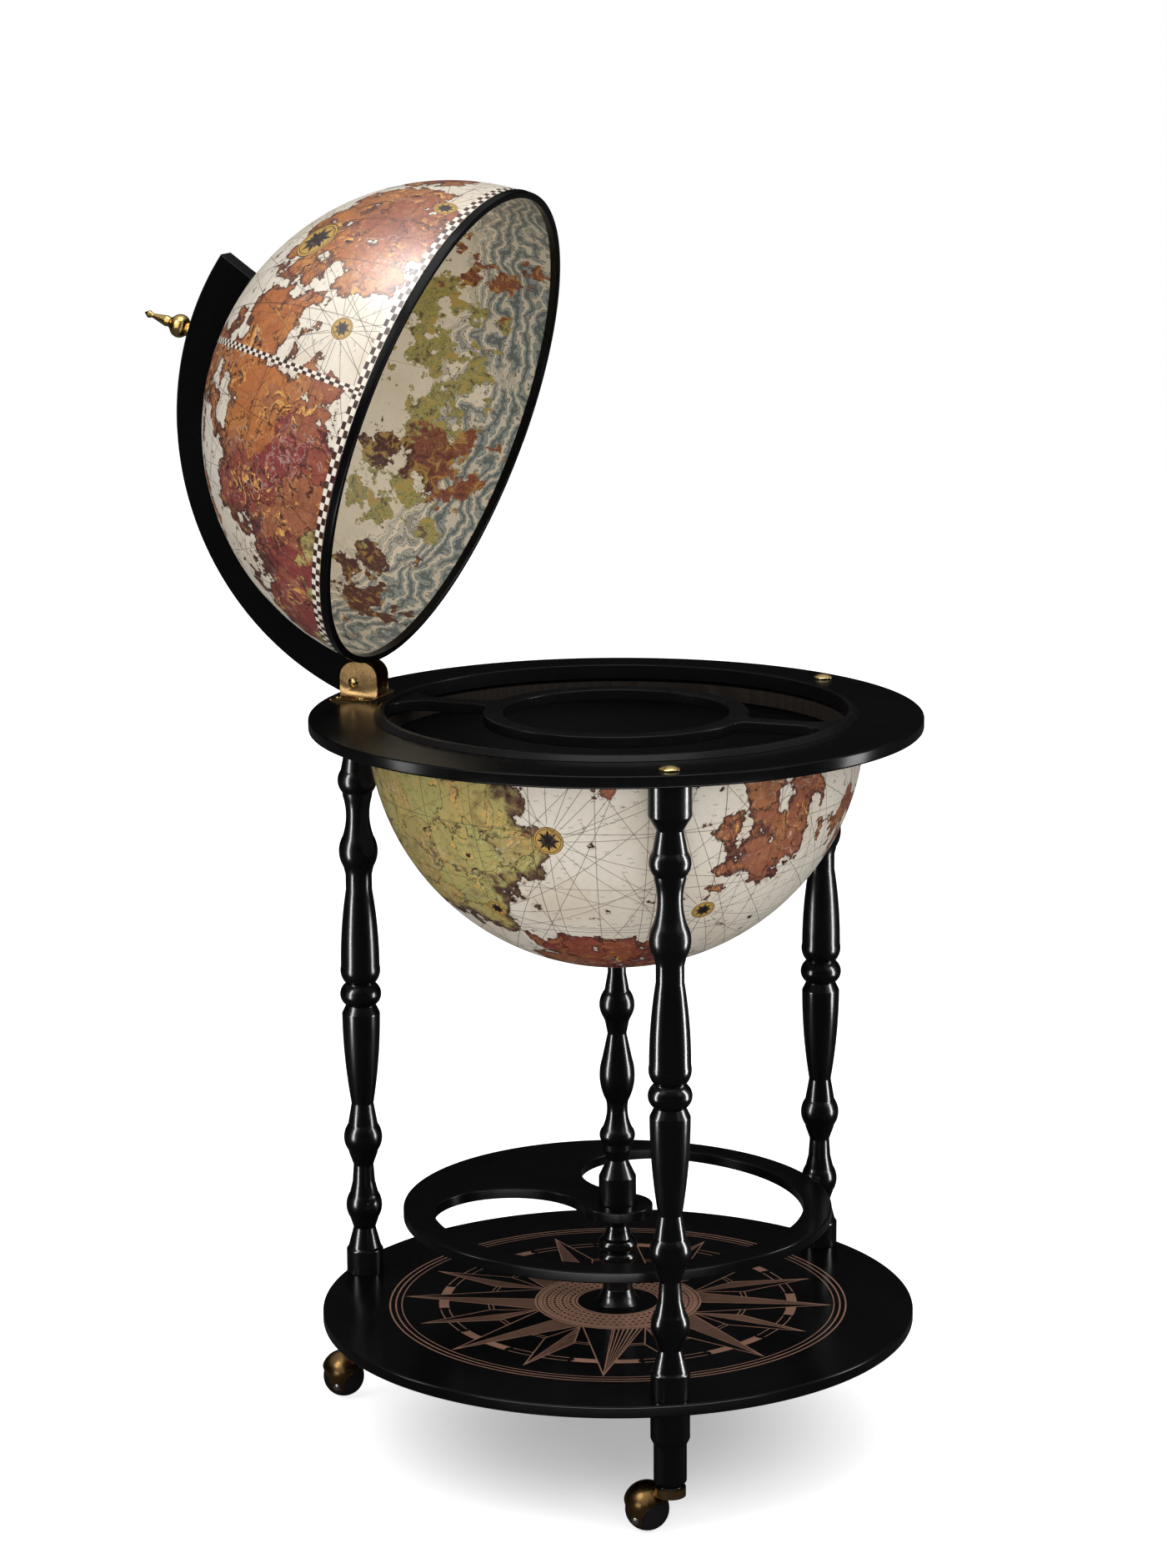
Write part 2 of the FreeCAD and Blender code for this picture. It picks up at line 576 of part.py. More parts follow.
# Glass holder: lipped insert with a bottle well and an arm each way to the rim
holder_out = ring_opening - s.holder_gap
holder_in = holder_out - s.holder_wall
web_top = s.ring_top + s.holder_web_rise
web_under = web_top - s.holder_web_thickness
lip_top = s.ring_top + s.holder_lip_height
lip_flat_out = holder_in + s.plate_edge + s.holder_lip_flat
holder = turned("glass_holder", [
    (holder_in, web_under), (holder_out, web_under), (holder_out, s.ring_top),
    (holder_out + s.holder_lip_reach, s.ring_top), (lip_flat_out, lip_top),
    (holder_in + s.plate_edge, lip_top), (holder_in, lip_top - s.plate_edge)])
sketch = sketch_on(holder, "XY_Plane", "holder_web", (ZERO, ZERO, web_under))
pad(holder, circle(sketch, ZERO, ZERO, (holder_in + holder_out) * HALF_share), s.holder_web_thickness)
cut(holder, circle(sketch_on(holder, "XY_Plane", "bottle_well"), ZERO, ZERO, s.well_radius))
hub_out = s.well_radius + s.hub_width
arm = s.arm_width * HALF_share
flare, root_r = s.arm_flare_radius, s.arm_root_radius
flare_x, root_x = leg_of(holder_in - flare, arm + flare), leg_of(hub_out + root_r, arm + root_r)
flare_scale, root_scale = holder_in / (holder_in - flare), hub_out / (hub_out + root_r)
outline(sketch_on(holder, "XY_Plane", "glass_opening"), [
    (flare_x * flare_scale, (arm + flare) * flare_scale, holder_in), (ZERO, holder_in, holder_in),
    (-(flare_x * flare_scale), (arm + flare) * flare_scale, flare), (-flare_x, arm),
    (-root_x, arm, root_r), (-(root_x * root_scale), (arm + root_r) * root_scale, -hub_out),
    (ZERO, hub_out, -hub_out), (root_x * root_scale, (arm + root_r) * root_scale, root_r),
    (root_x, arm), (flare_x, arm, flare)])
pattern(holder, cut(holder, doc.glass_opening), 2)


def swing_open(body):
    """Swing a lid piece, drawn shut, open about the pin."""
    angle = s.lid_open_angle
    x = pin_x - pin_x * cosine(angle) + pin_z * sine(angle)
    z = pin_z - pin_x * sine(angle) - pin_z * cosine(angle)
    body.Placement = FreeCAD.Placement(V(x.value, 0, z.value),
                                       FreeCAD.Rotation(V(0, -1, 0), angle.value))
    body.setExpression("Placement.Base.x", x.formula)
    body.setExpression("Placement.Base.z", z.formula)
    body.setExpression("Placement.Rotation.Angle", angle.formula)
    return body


rim_low = s.ring_top + s.lid_gap
rim_top = rim_low + s.rim_height
shell_out, shell_in = (leg_of(r, rim_top - lid_z) for r in (s.globe_radius, globe_inner))
swing_open(turned("lid_rim", [
    (globe_inner - s.rim_inset, rim_low), (s.globe_radius + s.rim_overhang, rim_low),
    (s.globe_radius + s.rim_overhang, rim_top), (globe_inner - s.rim_inset, rim_top)]))
lid = swing_open(turned("upper_hemisphere", [
    (shell_in, rim_top), (shell_out, rim_top, s.globe_radius),
    (finial_bore, lid_z + leg_of(s.globe_radius, finial_bore)),
    (finial_bore, lid_z + leg_of(globe_inner, finial_bore), -globe_inner)]))
wedge_mid = s.ring_top + (s.wedge_low + s.wedge_high) * HALF_share
wedge_bore = s.wedge_screw_radius + s.bore_gap
cut(lid, circle(sketch_on(lid, "YZ_Plane", "lid_screw_hole"), ZERO, wedge_mid, wedge_bore),
    pin_reach, reverse=False)

# Meridian arc: closed-frame arm from the hinge knuckle over and past the pole
k_cos, k_sin = cosine(Length.of(60)), sine(Length.of(60))
open_cos, open_sin = cosine(s.lid_open_angle), sine(s.lid_open_angle)
end_cos, end_sin = cosine(s.arc_overrun_angle), sine(s.arc_overrun_angle)
foot_x, foot_z = pin_x - s.knuckle_radius * open_sin, pin_z - s.knuckle_radius * open_cos
arc = swing_open(new_body("meridian_arc"))
outline(sketch_on(arc, "XZ_Plane", "arc_outline"), [
    (-leg_of(arc_inner, s.pin_rise), pin_z),
    (pin_x + s.knuckle_radius * k_cos, pin_z - s.knuckle_radius * k_sin, -s.knuckle_radius),
    (foot_x, foot_z),
    (foot_x - s.heel_length * open_cos, foot_z + s.heel_length * open_sin, -arc_outer),
    (arc_outer * end_sin, s.ring_top + arc_outer * end_cos),
    (arc_inner * end_sin, s.ring_top + arc_inner * end_cos, arc_inner)])
pad(arc, doc.arc_outline, s.arc_thickness, midplane=True)
cut(arc, circle(sketch_on(arc, "XZ_Plane", "arc_pin_bore"), pin_x, pin_z, s.pin_radius + s.pin_gap))
cut(arc, circle(sketch_on(arc, "XY_Plane", "arc_stud_bore"), ZERO, ZERO, finial_bore))
screw_tip = arc_inner + s.wedge_screw_bite
sketch = sketch_on(arc, "YZ_Plane", "arc_screw_bore", (ZERO, ZERO, -s.globe_radius))
cut(arc, circle(sketch, ZERO, wedge_mid, wedge_bore), screw_tip - s.globe_radius, reverse=False)

# What joins arc and lid: bush, finial stud and nut at the pole, wedge and screw by the hinge
bush_low = lid_z + s.globe_radius + s.seat_gap
bush_top = s.ring_top + leg_of(arc_inner, s.bush_radius) - s.seat_gap
swing_open(turned("pole_bush", [(finial_bore, bush_low), (s.bush_radius, bush_low),
                                (s.bush_radius, bush_top), (finial_bore, bush_top)]))
wedge = swing_open(new_body("arc_wedge"))
low_z, high_z = s.ring_top + s.wedge_low, s.ring_top + s.wedge_high
lid_low, lid_high = (-leg_of(s.globe_radius, z - lid_z) - s.seat_gap for z in (low_z, high_z))
arc_low, arc_high = (-leg_of(arc_inner, z - s.ring_top) + s.seat_gap
                     for z in (low_z, high_z))
outline(sketch_on(wedge, "XZ_Plane", "wedge_outline"), [
    (arc_low, low_z), (lid_low, low_z, -s.globe_radius), (lid_high, high_z),
    (arc_high, high_z, arc_inner)])
pad(wedge, doc.wedge_outline, s.wedge_width, midplane=True)
cut(wedge, circle(sketch_on(wedge, "YZ_Plane", "wedge_bore"), ZERO, wedge_mid, wedge_bore))

screw_seat = leg_of(globe_inner, wedge_mid + s.wedge_screw_head_radius - lid_z)
screw = new_body("wedge_screw")
sketch = sketch_on(screw, "YZ_Plane", "wedge_screw_head", (ZERO, ZERO, -screw_seat))
pad(screw, circle(sketch, ZERO, wedge_mid, s.wedge_screw_head_radius), s.wedge_screw_head_height)
sketch = sketch_on(screw, "YZ_Plane", "wedge_screw_shank", (ZERO, ZERO, -screw_tip))
pad(screw, circle(sketch, ZERO, wedge_mid, s.wedge_screw_radius), screw_tip - screw_seat)
swing_open(screw)

arc_top = s.ring_top + arc_outer
washer_top = lid_z + leg_of(globe_inner, s.finial_washer_radius)
washer_under = washer_top - s.finial_washer_thickness
nut_under = washer_under - s.finial_nut_height
stud_end = nut_under - s.finial_stud_end
finial_points = profile(FINIAL_PROFILE_shares, arc_top, s.finial_height, s.finial_radius)
swing_open(turned("finial", [(ZERO, stud_end), (s.finial_stud_radius, stud_end),
                             (s.finial_stud_radius, arc_top)] + finial_points))
swing_open(nut_and_washer("finial_nut", s.finial_washer_radius, washer_under,
                          s.finial_washer_thickness, s.finial_nut_radius, nut_under,
                          s.finial_nut_height, finial_bore))

# Hinge: folded brass bracket, its pin and its four wood screws
bracket = new_body("hinge_bracket")
plate_left, plate_right = pin_x - s.hinge_plate_outer, pin_x + s.hinge_plate_inner
plate_top = s.ring_top + s.hinge_plate_thickness
sketch = sketch_on(bracket, "XY_Plane", "hinge_plate", (ZERO, ZERO, s.ring_top))
outline(sketch, [(plate_left, -s.hinge_plate_half_width), (plate_right, -s.hinge_plate_half_width),
                 (plate_right, s.hinge_plate_half_width), (plate_left, s.hinge_plate_half_width)])
pad(bracket, sketch, s.hinge_plate_thickness)
round_edges(bracket, s.hinge_plate_corner_radius, upright)
ear_left, ear_right = pin_x - s.ear_outer_reach, pin_x + s.ear_inner_reach
ear_top = s.ring_top + s.ear_height
ear_shoulder = ear_top - s.ear_corner_radius
ear_room = s.arc_thickness + s.ear_gap * 2
outline(sketch_on(bracket, "XZ_Plane", "hinge_ears"), [
    (ear_left, s.ring_top), (ear_right, s.ring_top), (ear_right, ear_shoulder, s.ear_corner_radius),
    (ear_right - s.ear_corner_radius, ear_top),
    (ear_left + s.ear_corner_radius, ear_top, s.ear_corner_radius), (ear_left, ear_shoulder)])
pad(bracket, doc.hinge_ears, ear_room + s.ear_thickness * 2, midplane=True)
sketch = sketch_on(bracket, "XZ_Plane", "hinge_room", (ZERO, ZERO, -(ear_room * HALF_share)))
outline(sketch, [(ear_left - s.overrun, plate_top), (ear_right + s.overrun, plate_top),
                 (ear_right + s.overrun, ear_top + s.overrun),
                 (ear_left - s.overrun, ear_top + s.overrun)])
cut(bracket, sketch, ear_room, reverse=True)
cut(bracket, circle(sketch_on(bracket, "XZ_Plane", "hinge_pin_hole"), pin_x, pin_z,
                    s.pin_radius + s.seat_gap))
cut(bracket, circle(sketch_on(bracket, "XY_Plane", "hinge_bolt_hole"), -leg_circle, ZERO,
                    s.flat_head_radius + s.bore_gap))
sketch = sketch_on(bracket, "XY_Plane", "hinge_screw_holes")
screw_spots = [(pin_x + dx, dy) for dx in (-s.hinge_screw_spread, s.hinge_screw_spread)
               for dy in (-s.hinge_screw_side, s.hinge_screw_side)]
for x, y in screw_spots:
    circle(sketch, x, y, s.hinge_screw_radius + s.seat_gap)
cut(bracket, sketch)

hinge_screws = new_body("hinge_screws")
screw_low = s.ring_top - s.hinge_screw_bite
sketch = sketch_on(hinge_screws, "XY_Plane", "hinge_screw_shanks", (ZERO, ZERO, screw_low))
for x, y in screw_spots:
    circle(sketch, x, y, s.hinge_screw_radius)
pad(hinge_screws, sketch, plate_top - screw_low)
sketch = sketch_on(hinge_screws, "XY_Plane", "hinge_screw_heads", (ZERO, ZERO, plate_top))
for x, y in screw_spots:
    circle(sketch, x, y, s.hinge_screw_head_radius)
pad(hinge_screws, sketch, s.hinge_screw_head_height)
sketch = sketch_on(ring, "XY_Plane", "ring_hinge_screws", (ZERO, ZERO, s.ring_top))
for x, y in screw_spots:
    circle(sketch, x, y, s.hinge_screw_radius + s.seat_gap)
cut(ring, sketch, s.hinge_screw_bite)

pin_half = ear_room * HALF_share + s.ear_thickness
head_out = pin_half + s.pin_head_height
nut_out = pin_half + s.pin_nut_height
pin = turned("hinge_pin", [
    (ZERO, -nut_out), (s.pin_nut_radius, -nut_out), (s.pin_nut_radius, -pin_half),
    (s.pin_radius, -pin_half), (s.pin_radius, pin_half),
    (s.pin_head_radius, pin_half, dome(s.pin_head_radius, s.pin_head_height)), (ZERO, head_out)])
place(pin, pin_x, ZERO, tilt=Length.of(90), z=pin_z)


# Hooded ball casters, drawn about the stem and stood under each foot
def caster(side, leg_angle, turn):
    x, y = leg_spot(leg_angle)
    socket_in = s.stem_radius + s.socket_gap
    socket_out = socket_in + s.socket_wall
    flange_low = s.foot_bottom - s.socket_flange_thickness
    place(turned(f"caster_{side}_socket", [
        (socket_in, flange_low), (s.socket_flange_radius, flange_low),
        (s.socket_flange_radius, s.foot_bottom), (socket_out, s.foot_bottom),
        (socket_out, s.socket_top), (socket_in, s.socket_top)]), x, y)

    floor_low = s.cup_floor_top - s.cup_floor_thickness
    rivet_low = floor_low - s.stem_rivet_height
    cap_top = flange_low - s.swivel_gap
    place(turned(f"caster_{side}_stem", [
        (ZERO, rivet_low), (s.stem_rivet_radius, rivet_low), (s.stem_rivet_radius, floor_low),
        (s.stem_radius, floor_low), (s.stem_radius, s.cup_floor_top),
        (s.stem_cap_radius, s.cup_floor_top, ROUND_share), (s.socket_flange_radius, cap_top),
        (s.stem_radius, cap_top), (s.stem_radius, s.stem_top), (ZERO, s.stem_top)]), x, y, turn)

    name = f"caster_{side}_hood"
    hood = new_body(name)
    ball_z = s.ball_radius
    centre = (-s.caster_trail, ZERO, ZERO)

    def capsule(label, inset):
        reach, shoulder = s.hood_radius - inset, ball_z + s.hood_rise
        return outline(sketch_on(hood, "XZ_Plane", label, centre), [
            (ZERO, ball_z - reach, reach), (reach, ball_z), (reach, shoulder, reach),
            (ZERO, shoulder + reach)])

    spin(hood, capsule(name + "_dome", ZERO))
    side_on = (-s.caster_trail, ball_z, ZERO)
    sketch = sketch_on(hood, "XZ_Plane", name + "_tongue", side_on, s.axle_tilt)
    wide = s.tongue_spread + s.overrun
    outline(sketch, [(-wide, -wide), (wide, -wide), (wide, wide), (-wide, wide)])
    outline(sketch, [
        (-s.tongue_radius, ZERO, s.tongue_radius), (ZERO, -s.tongue_radius, s.tongue_radius),
        (s.tongue_radius, ZERO, -FLARE_share),
        (s.tongue_spread, s.tongue_flare), (s.tongue_spread, s.overrun),
        (-s.tongue_spread, s.overrun), (-s.tongue_spread, s.tongue_flare, -FLARE_share)])
    cut(hood, sketch)
    sketch = sketch_on(hood, "XZ_Plane", name + "_back", side_on, s.axle_tilt)
    outline(sketch, [(-wide, -wide), (wide, -wide), (wide, s.tongue_flare), (-wide, s.tongue_flare)])
    cut(hood, sketch, wide)
    spin(hood, outline(sketch_on(hood, "XZ_Plane", name + "_cup"), [
        (s.stem_radius, floor_low), (s.cup_radius - s.cup_wall, floor_low),
        (s.cup_radius - s.cup_wall, s.cup_bottom), (s.cup_radius, s.cup_bottom),
        (s.cup_radius, s.cup_top), (s.cup_radius - s.cup_wall, s.cup_top),
        (s.cup_radius - s.cup_wall, s.cup_floor_top), (s.stem_radius, s.cup_floor_top)]))
    spin(hood, capsule(name + "_inside", s.hood_wall), groove=True)
    sketch = sketch_on(hood, "XZ_Plane", name + "_axle", side_on, s.axle_tilt)
    cut(hood, circle(sketch, ZERO, ZERO, s.axle_radius + s.seat_gap))
    place(hood, x, y, turn)

    ball_x = x - s.caster_trail * cosine(turn)
    ball_y = y - s.caster_trail * sine(turn)
    lean = s.axle_tilt + 90
    flat = s.ball_radius - s.ball_flat
    face = leg_of(s.ball_radius, flat)
    bore = s.axle_radius + s.pin_gap
    place(turned(f"caster_{side}_wheel", [
        (bore, -flat), (face, -flat, s.ball_radius), (s.ball_radius, ZERO, s.ball_radius),
        (face, flat), (bore, flat)]), ball_x, ball_y, turn, lean, ball_z)
    tail = flat + s.axle_tail_gap
    tail_end = tail + s.axle_tail_height
    head = s.hood_radius
    place(turned(f"caster_{side}_axle", [
        (ZERO, -tail_end), (s.axle_tail_radius, -tail_end), (s.axle_tail_radius, -tail),
        (s.axle_radius, -tail), (s.axle_radius, head),
        (s.axle_head_radius, head, dome(s.axle_head_radius, s.axle_head_height)),
        (ZERO, head + s.axle_head_height)]), ball_x, ball_y, turn, lean, ball_z)


caster("left", LEG_ANGLES["left"], s.caster_left_turn)
caster("front", LEG_ANGLES["front"], s.caster_front_turn)
caster("right", LEG_ANGLES["right"], s.caster_right_turn)

doc.recompute()
failed = [o.Name for o in doc.Objects if "Invalid" in o.State or "Error" in o.State]
if failed:
    raise RuntimeError(f"failed: {failed}")
bodies = [o for o in doc.Objects if o.TypeId == "PartDesign::Body"]
for body in bodies:
    if body.Shape.isNull() or not body.Shape.isValid():
        raise RuntimeError(f"{body.Label} has no valid shape")
os.makedirs("parts", exist_ok=True)
for body in bodies:
    body.Shape.exportStep(f"parts/{body.Label}.step")
print(len(bodies), "pieces", sum(len(b.Shape.Solids) for b in bodies), "solids")
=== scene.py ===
"""Looks of a globe bar cabinet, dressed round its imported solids.

Metres, +Z up, origin on the floor under the column, hinge towards -X, lid open.
"""
import logging
import math
from dataclasses import dataclass, field
from enum import Enum
from functools import reduce
from typing import Callable, Iterable, Optional, Sequence

import bmesh
import bpy
from mathutils import Matrix, Vector


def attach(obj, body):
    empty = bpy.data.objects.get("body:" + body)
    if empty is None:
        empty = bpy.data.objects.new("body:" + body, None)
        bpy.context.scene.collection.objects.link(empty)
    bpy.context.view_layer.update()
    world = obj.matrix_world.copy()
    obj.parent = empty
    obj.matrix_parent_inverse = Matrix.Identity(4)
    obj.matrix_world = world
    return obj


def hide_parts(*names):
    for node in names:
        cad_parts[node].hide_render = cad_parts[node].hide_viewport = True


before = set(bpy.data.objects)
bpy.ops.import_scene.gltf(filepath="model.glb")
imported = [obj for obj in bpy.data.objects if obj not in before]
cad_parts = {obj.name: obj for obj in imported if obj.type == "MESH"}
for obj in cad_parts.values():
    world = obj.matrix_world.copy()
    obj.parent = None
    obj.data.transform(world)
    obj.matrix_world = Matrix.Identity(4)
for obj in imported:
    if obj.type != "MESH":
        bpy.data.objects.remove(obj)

LOG = logging.getLogger("globe_bar")
Point = tuple[float, float]
Mesh = bmesh.types.BMesh
Tree = bpy.types.NodeTree
Material = bpy.types.Material
Sockets = bpy.types.bpy_prop_collection
Shares = Sequence[tuple[float, float, float]]
Colour = tuple[float, float, float]

# ---------------------------------------------------------------- outlines, palette and print
# Turned outlines, bottom to top: share of the height, share of the radius and the arc
# to the next point as a share of its chord (plus bulges out, minus hollows in).
LEG_SHARES: Shares = (
    (0.0, 0.901, 0), (0.0427, 0.901, 0), (0.0468, 0.808, 0), (0.0817, 0.541, 0),
    (0.1, 0.709, 0.144), (0.1444, 0.692, 0), (0.1643, 0.552, 0), (0.195, 0.49, 0),
    (0.2156, 0.698, 0), (0.2207, 0.727, 0.16), (0.2675, 0.727, 0), (0.3047, 0.541, 0.02),
    (0.4661, 0.924, 0), (0.4811, 0.721, 0.27), (0.5191, 0.703, 0.13), (0.5503, 0.942, 0.02),
    (0.6838, 0.64, 0), (0.7105, 0.64, 0), (0.7244, 0.733, 0.134), (0.7772, 0.75, -0.08),
    (0.847, 0.709, 0), (0.8542, 0.733, 0.175), (0.8922, 0.785, 0), (0.9257, 0.599, 0),
    (0.9487, 0.977, 0), (1.0, 0.977, 0),
)
FOOT_SHARES: Shares = (
    (0.0, 0.71, 0), (0.0464, 0.839, 0), (0.5464, 0.839, 0), (0.6258, 1.0, 0), (1.0, 1.0, 0),
)
COLUMN_LOW_SHARES: Shares = (
    (0.0, 1.0, -0.08), (0.1737, 0.639, 0), (0.4, 0.66, 0), (0.4566, 0.67, 0.32),
    (0.59, 0.66, 0.32), (0.735, 0.66, -0.06), (0.879, 0.459, 0), (1.0, 0.50, 0),
)
COLUMN_HIGH_SHARES: Shares = (
    (0.0, 0.945, 0), (0.1135, 0.939, 0), (0.1826, 0.524, 0), (0.2242, 0.713, 0),
    (0.2512, 0.72, 0.2), (0.314, 0.75, -0.08), (0.425, 0.555, 0.1), (0.6, 0.75, 0),
    (0.7014, 0.476, 0), (0.7527, 0.604, 0), (0.77, 0.7, 0.16), (0.878, 0.62, 0),
    (0.95, 0.457, 0), (1.0, 0.457, 0),
)
FINIAL_SHARES: Shares = (
    (0.0, 0.75, 0), (0.04, 0.75, 0), (0.1, 0.58, 0.3), (0.4, 0.66, 0), (0.46, 0.42, 0),
    (0.53, 0.5, 0), (0.68, 0.34, 0), (0.82, 0.2, 0), (0.9, 0.36, 0), (1.0, 0.0, 0),
)

CREAM: Colour = (0.86, 0.79, 0.675)
CREAM_STAIN: Colour = (0.62, 0.47, 0.30)
SHORE_TINT: Colour = (0.50, 0.33, 0.19)
INK: Colour = (0.022, 0.011, 0.009)
SCORCH: Colour = (0.085, 0.022, 0.022)
ORANGE: Colour = (0.47, 0.15, 0.04)
MAROON: Colour = (0.27, 0.045, 0.04)
OLIVE: Colour = (0.47, 0.42, 0.13)
RUST: Colour = (0.34, 0.10, 0.048)
LAND_GLOW: Colour = (0.66, 0.33, 0.08)
LAND_DEEP: Colour = (0.13, 0.035, 0.022)
HILL_LIGHT: Colour = (0.80, 0.42, 0.10)
HILL_DARK: Colour = (0.05, 0.014, 0.010)
ROSE_GOLD: Colour = (0.55, 0.33, 0.07)
ROSE_DARK: Colour = (0.05, 0.042, 0.04)
WAVE_BLUE: Colour = (0.25, 0.30, 0.29)
WAVE_DEEP: Colour = (0.032, 0.038, 0.036)
LINING_CREAM: Colour = (0.92, 0.80, 0.60)
BLACK: Colour = (0.0025, 0.0025, 0.0028)
COPPER: Colour = (0.52, 0.29, 0.20)
COPPER_DARK: Colour = (0.20, 0.095, 0.06)
DUST: Colour = (0.05, 0.05, 0.052)
WHITE: Colour = (1.0, 1.0, 1.0)
ORIGIN = (0.0, 0.0, 0.0)
HALF_WAY = (0.5, 0.5, 0.5)

# Specular level of the black finishes, heights between which the tray's rose fades in, and
# half width of a painted coast.
GLOSS_LEVEL = 0.14
ROSE_LOW, ROSE_HIGH = 0.110, 0.112
COAST = 0.002

# Lands and patches of the print: azimuth, height and reach in degrees, and tint.
CHART_LANDS = (
    (-40, 33, 15, ORANGE), (-50, 19, 9, ORANGE), (-62, 40, 15, ORANGE), (-30, 16, 6, RUST),
    (-85, 27, 10, ORANGE), (-78, 15, 5, RUST), (-88, 62, 12, RUST), (-113, 21, 21, MAROON),
    (-104, 13, 18, MAROON), (-127, 8, 13, MAROON), (-131, 45, 9, ORANGE), (-6, 34, 12, RUST),
    (-172, 36, 16, RUST), (36, 20, 15, RUST), (84, 36, 26, OLIVE), (142, 28, 19, ORANGE),
    (-124, -17, 30, OLIVE), (-33, -12, 14, RUST), (-71, -62, 13, MAROON), (-8, -18, 5, RUST),
    (50, -26, 22, OLIVE), (126, -34, 22, ORANGE),
)
LINING_PATCHES = (
    (103, 20, 7, OLIVE), (116, 25, 6, LAND_DEEP), (110, 16, 4, RUST), (130, 26, 4, OLIVE),
    (64, 26, 5, OLIVE), (57, 21, 3.5, RUST), (86, 29, 3.5, OLIVE), (148, 23, 7, LAND_DEEP),
    (157, 16, 5, LAND_DEEP), (-60, 40, 9, OLIVE), (-110, 26, 8, RUST), (5, 34, 8, OLIVE),
    (22, 58, 8, RUST), (-150, 52, 8, LAND_DEEP), (-32, 18, 6, RUST), (178, 44, 7, OLIVE),
    (-95, 66, 8, OLIVE), (-80, 18, 5, LAND_DEEP),
)
# Wind roses: azimuth and height in degrees, and radius in radians of arc.
CHART_ROSES = (
    (-37, 36, 0.098), (-22, 9, 0.048), (-63, 14, 0.046), (120, 60, 0.06),
    (-86, -17, 0.060), (-45, -38, 0.048), (-107, -39, 0.042), (60, -55, 0.05),
)

# Chequered bands, in radians: rows across them, dashes along them and the heights between
# which they run. Their meridians are in degrees.
RIM_ROW = 0.017
RIM_DASH = math.tau / 206
BAND_ROW = 0.0135
BAND_DASH = 0.0225
CHECK_LEVEL = 0.055
CHECK_TOP = 1.45
CHECK_MERIDIANS = (-75, 105)

# Sizes that several sub-assemblies share, in metres; steps of circles; and, for meshes, what
# counts as one point, as level and, in radians, as a board's rim.
RING_TOP = 0.610
RING_UNDER = 0.600
ROD_BORE = 0.00415
ROUND_STEPS = 192
BORE_STEPS = 24
WELD = 1e-6
LEVEL = 1e-7
CREASE = 1.2


class Slot(Enum):
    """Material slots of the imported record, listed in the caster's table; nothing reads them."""

    LACQUER = "black_lacquer"
    PLASTIC = "black_plastic"
    MAP = "map_shell"
    BRASS = "brass"
    STEEL = "steel"
    WHEEL = "wheel_plastic"


class Side(Enum):
    """The three legs, with the direction of each from the column in degrees."""

    LEFT = 180.0
    FRONT = 300.0
    RIGHT = 60.0

    @property
    def word(self) -> str:
        """Name of the side as the nodes spell it."""
        return self.name.lower()


# ---------------------------------------------------------------- outlines and meshes
def arc_points(start: Point, stop: Point, bend: float, steps: int = 10) -> list[Point]:
    """Points along an arc after its start, up to and with its end.

    Args:
        start: first point.
        stop: last point.
        bend: rise of the arc as a share of its chord, plus to the right of the chord.
        steps: parts that the arc is divided into.

    Returns:
        The points, or the end alone for a straight run.
    """
    if not bend:
        return [stop]
    chord = Vector((stop[0] - start[0], stop[1] - start[1]))
    side = Vector((chord.y, -chord.x)).normalized() * (1 if bend > 0 else -1)
    radius = chord.length * (1 / (8 * abs(bend)) + abs(bend) / 2)
    centre = (Vector(start) + Vector(stop)) / 2 - side * (radius - chord.length * abs(bend))
    half = math.atan2(chord.length / 2, radius - chord.length * abs(bend))
    along = chord.normalized()
    points = []
    for step in range(1, steps + 1):
        angle = half * (2 * step / steps - 1)
        point = centre + (side * math.cos(angle) + along * math.sin(angle)) * radius
        points.append((point.x, point.y))
    return points


def circle_points(radius: float, start: float, stop: float, steps: int,
                  centre: Point = (0.0, 0.0)) -> list[Point]:
    """Points on a circle from one angle to another, in degrees, both ends with them."""
    turns = [math.radians(start + (stop - start) * k / steps) for k in range(steps + 1)]
    return [(centre[0] + radius * math.cos(a), centre[1] + radius * math.sin(a)) for a in turns]


def full_circle(radius: float, steps: int = ROUND_STEPS, centre: Point = (0.0, 0.0)) -> list[Point]:
    """Points all the way round a circle."""
    return circle_points(radius, 0, 360, steps, centre)[:-1]


def turned_points(shares: Shares, bottom: float, height: float, radius: float) -> list[Point]:
    """Outer (radius, height) points of a turned piece from its table of shares."""
    knots = [(radius * r, bottom + height * h) for h, r, _ in shares]
    points = knots[:1]
    for start, stop, row in zip(knots, knots[1:], shares):
        points += arc_points(start, stop, row[2])
    return points


def corners(verts: Sequence[bmesh.types.BMVert], closed: bool, least: float) -> list:
    """Vertices of a chain at which it turns by more than some degrees."""
    found = []
    for k, vert in enumerate(verts):
        if not closed and k in (0, len(verts) - 1):
            continue
        into = vert.co - verts[k - 1].co
        out = verts[(k + 1) % len(verts)].co - vert.co
        if math.degrees(into.angle(out, 0.0)) > least:
            found.append(vert)
    return found


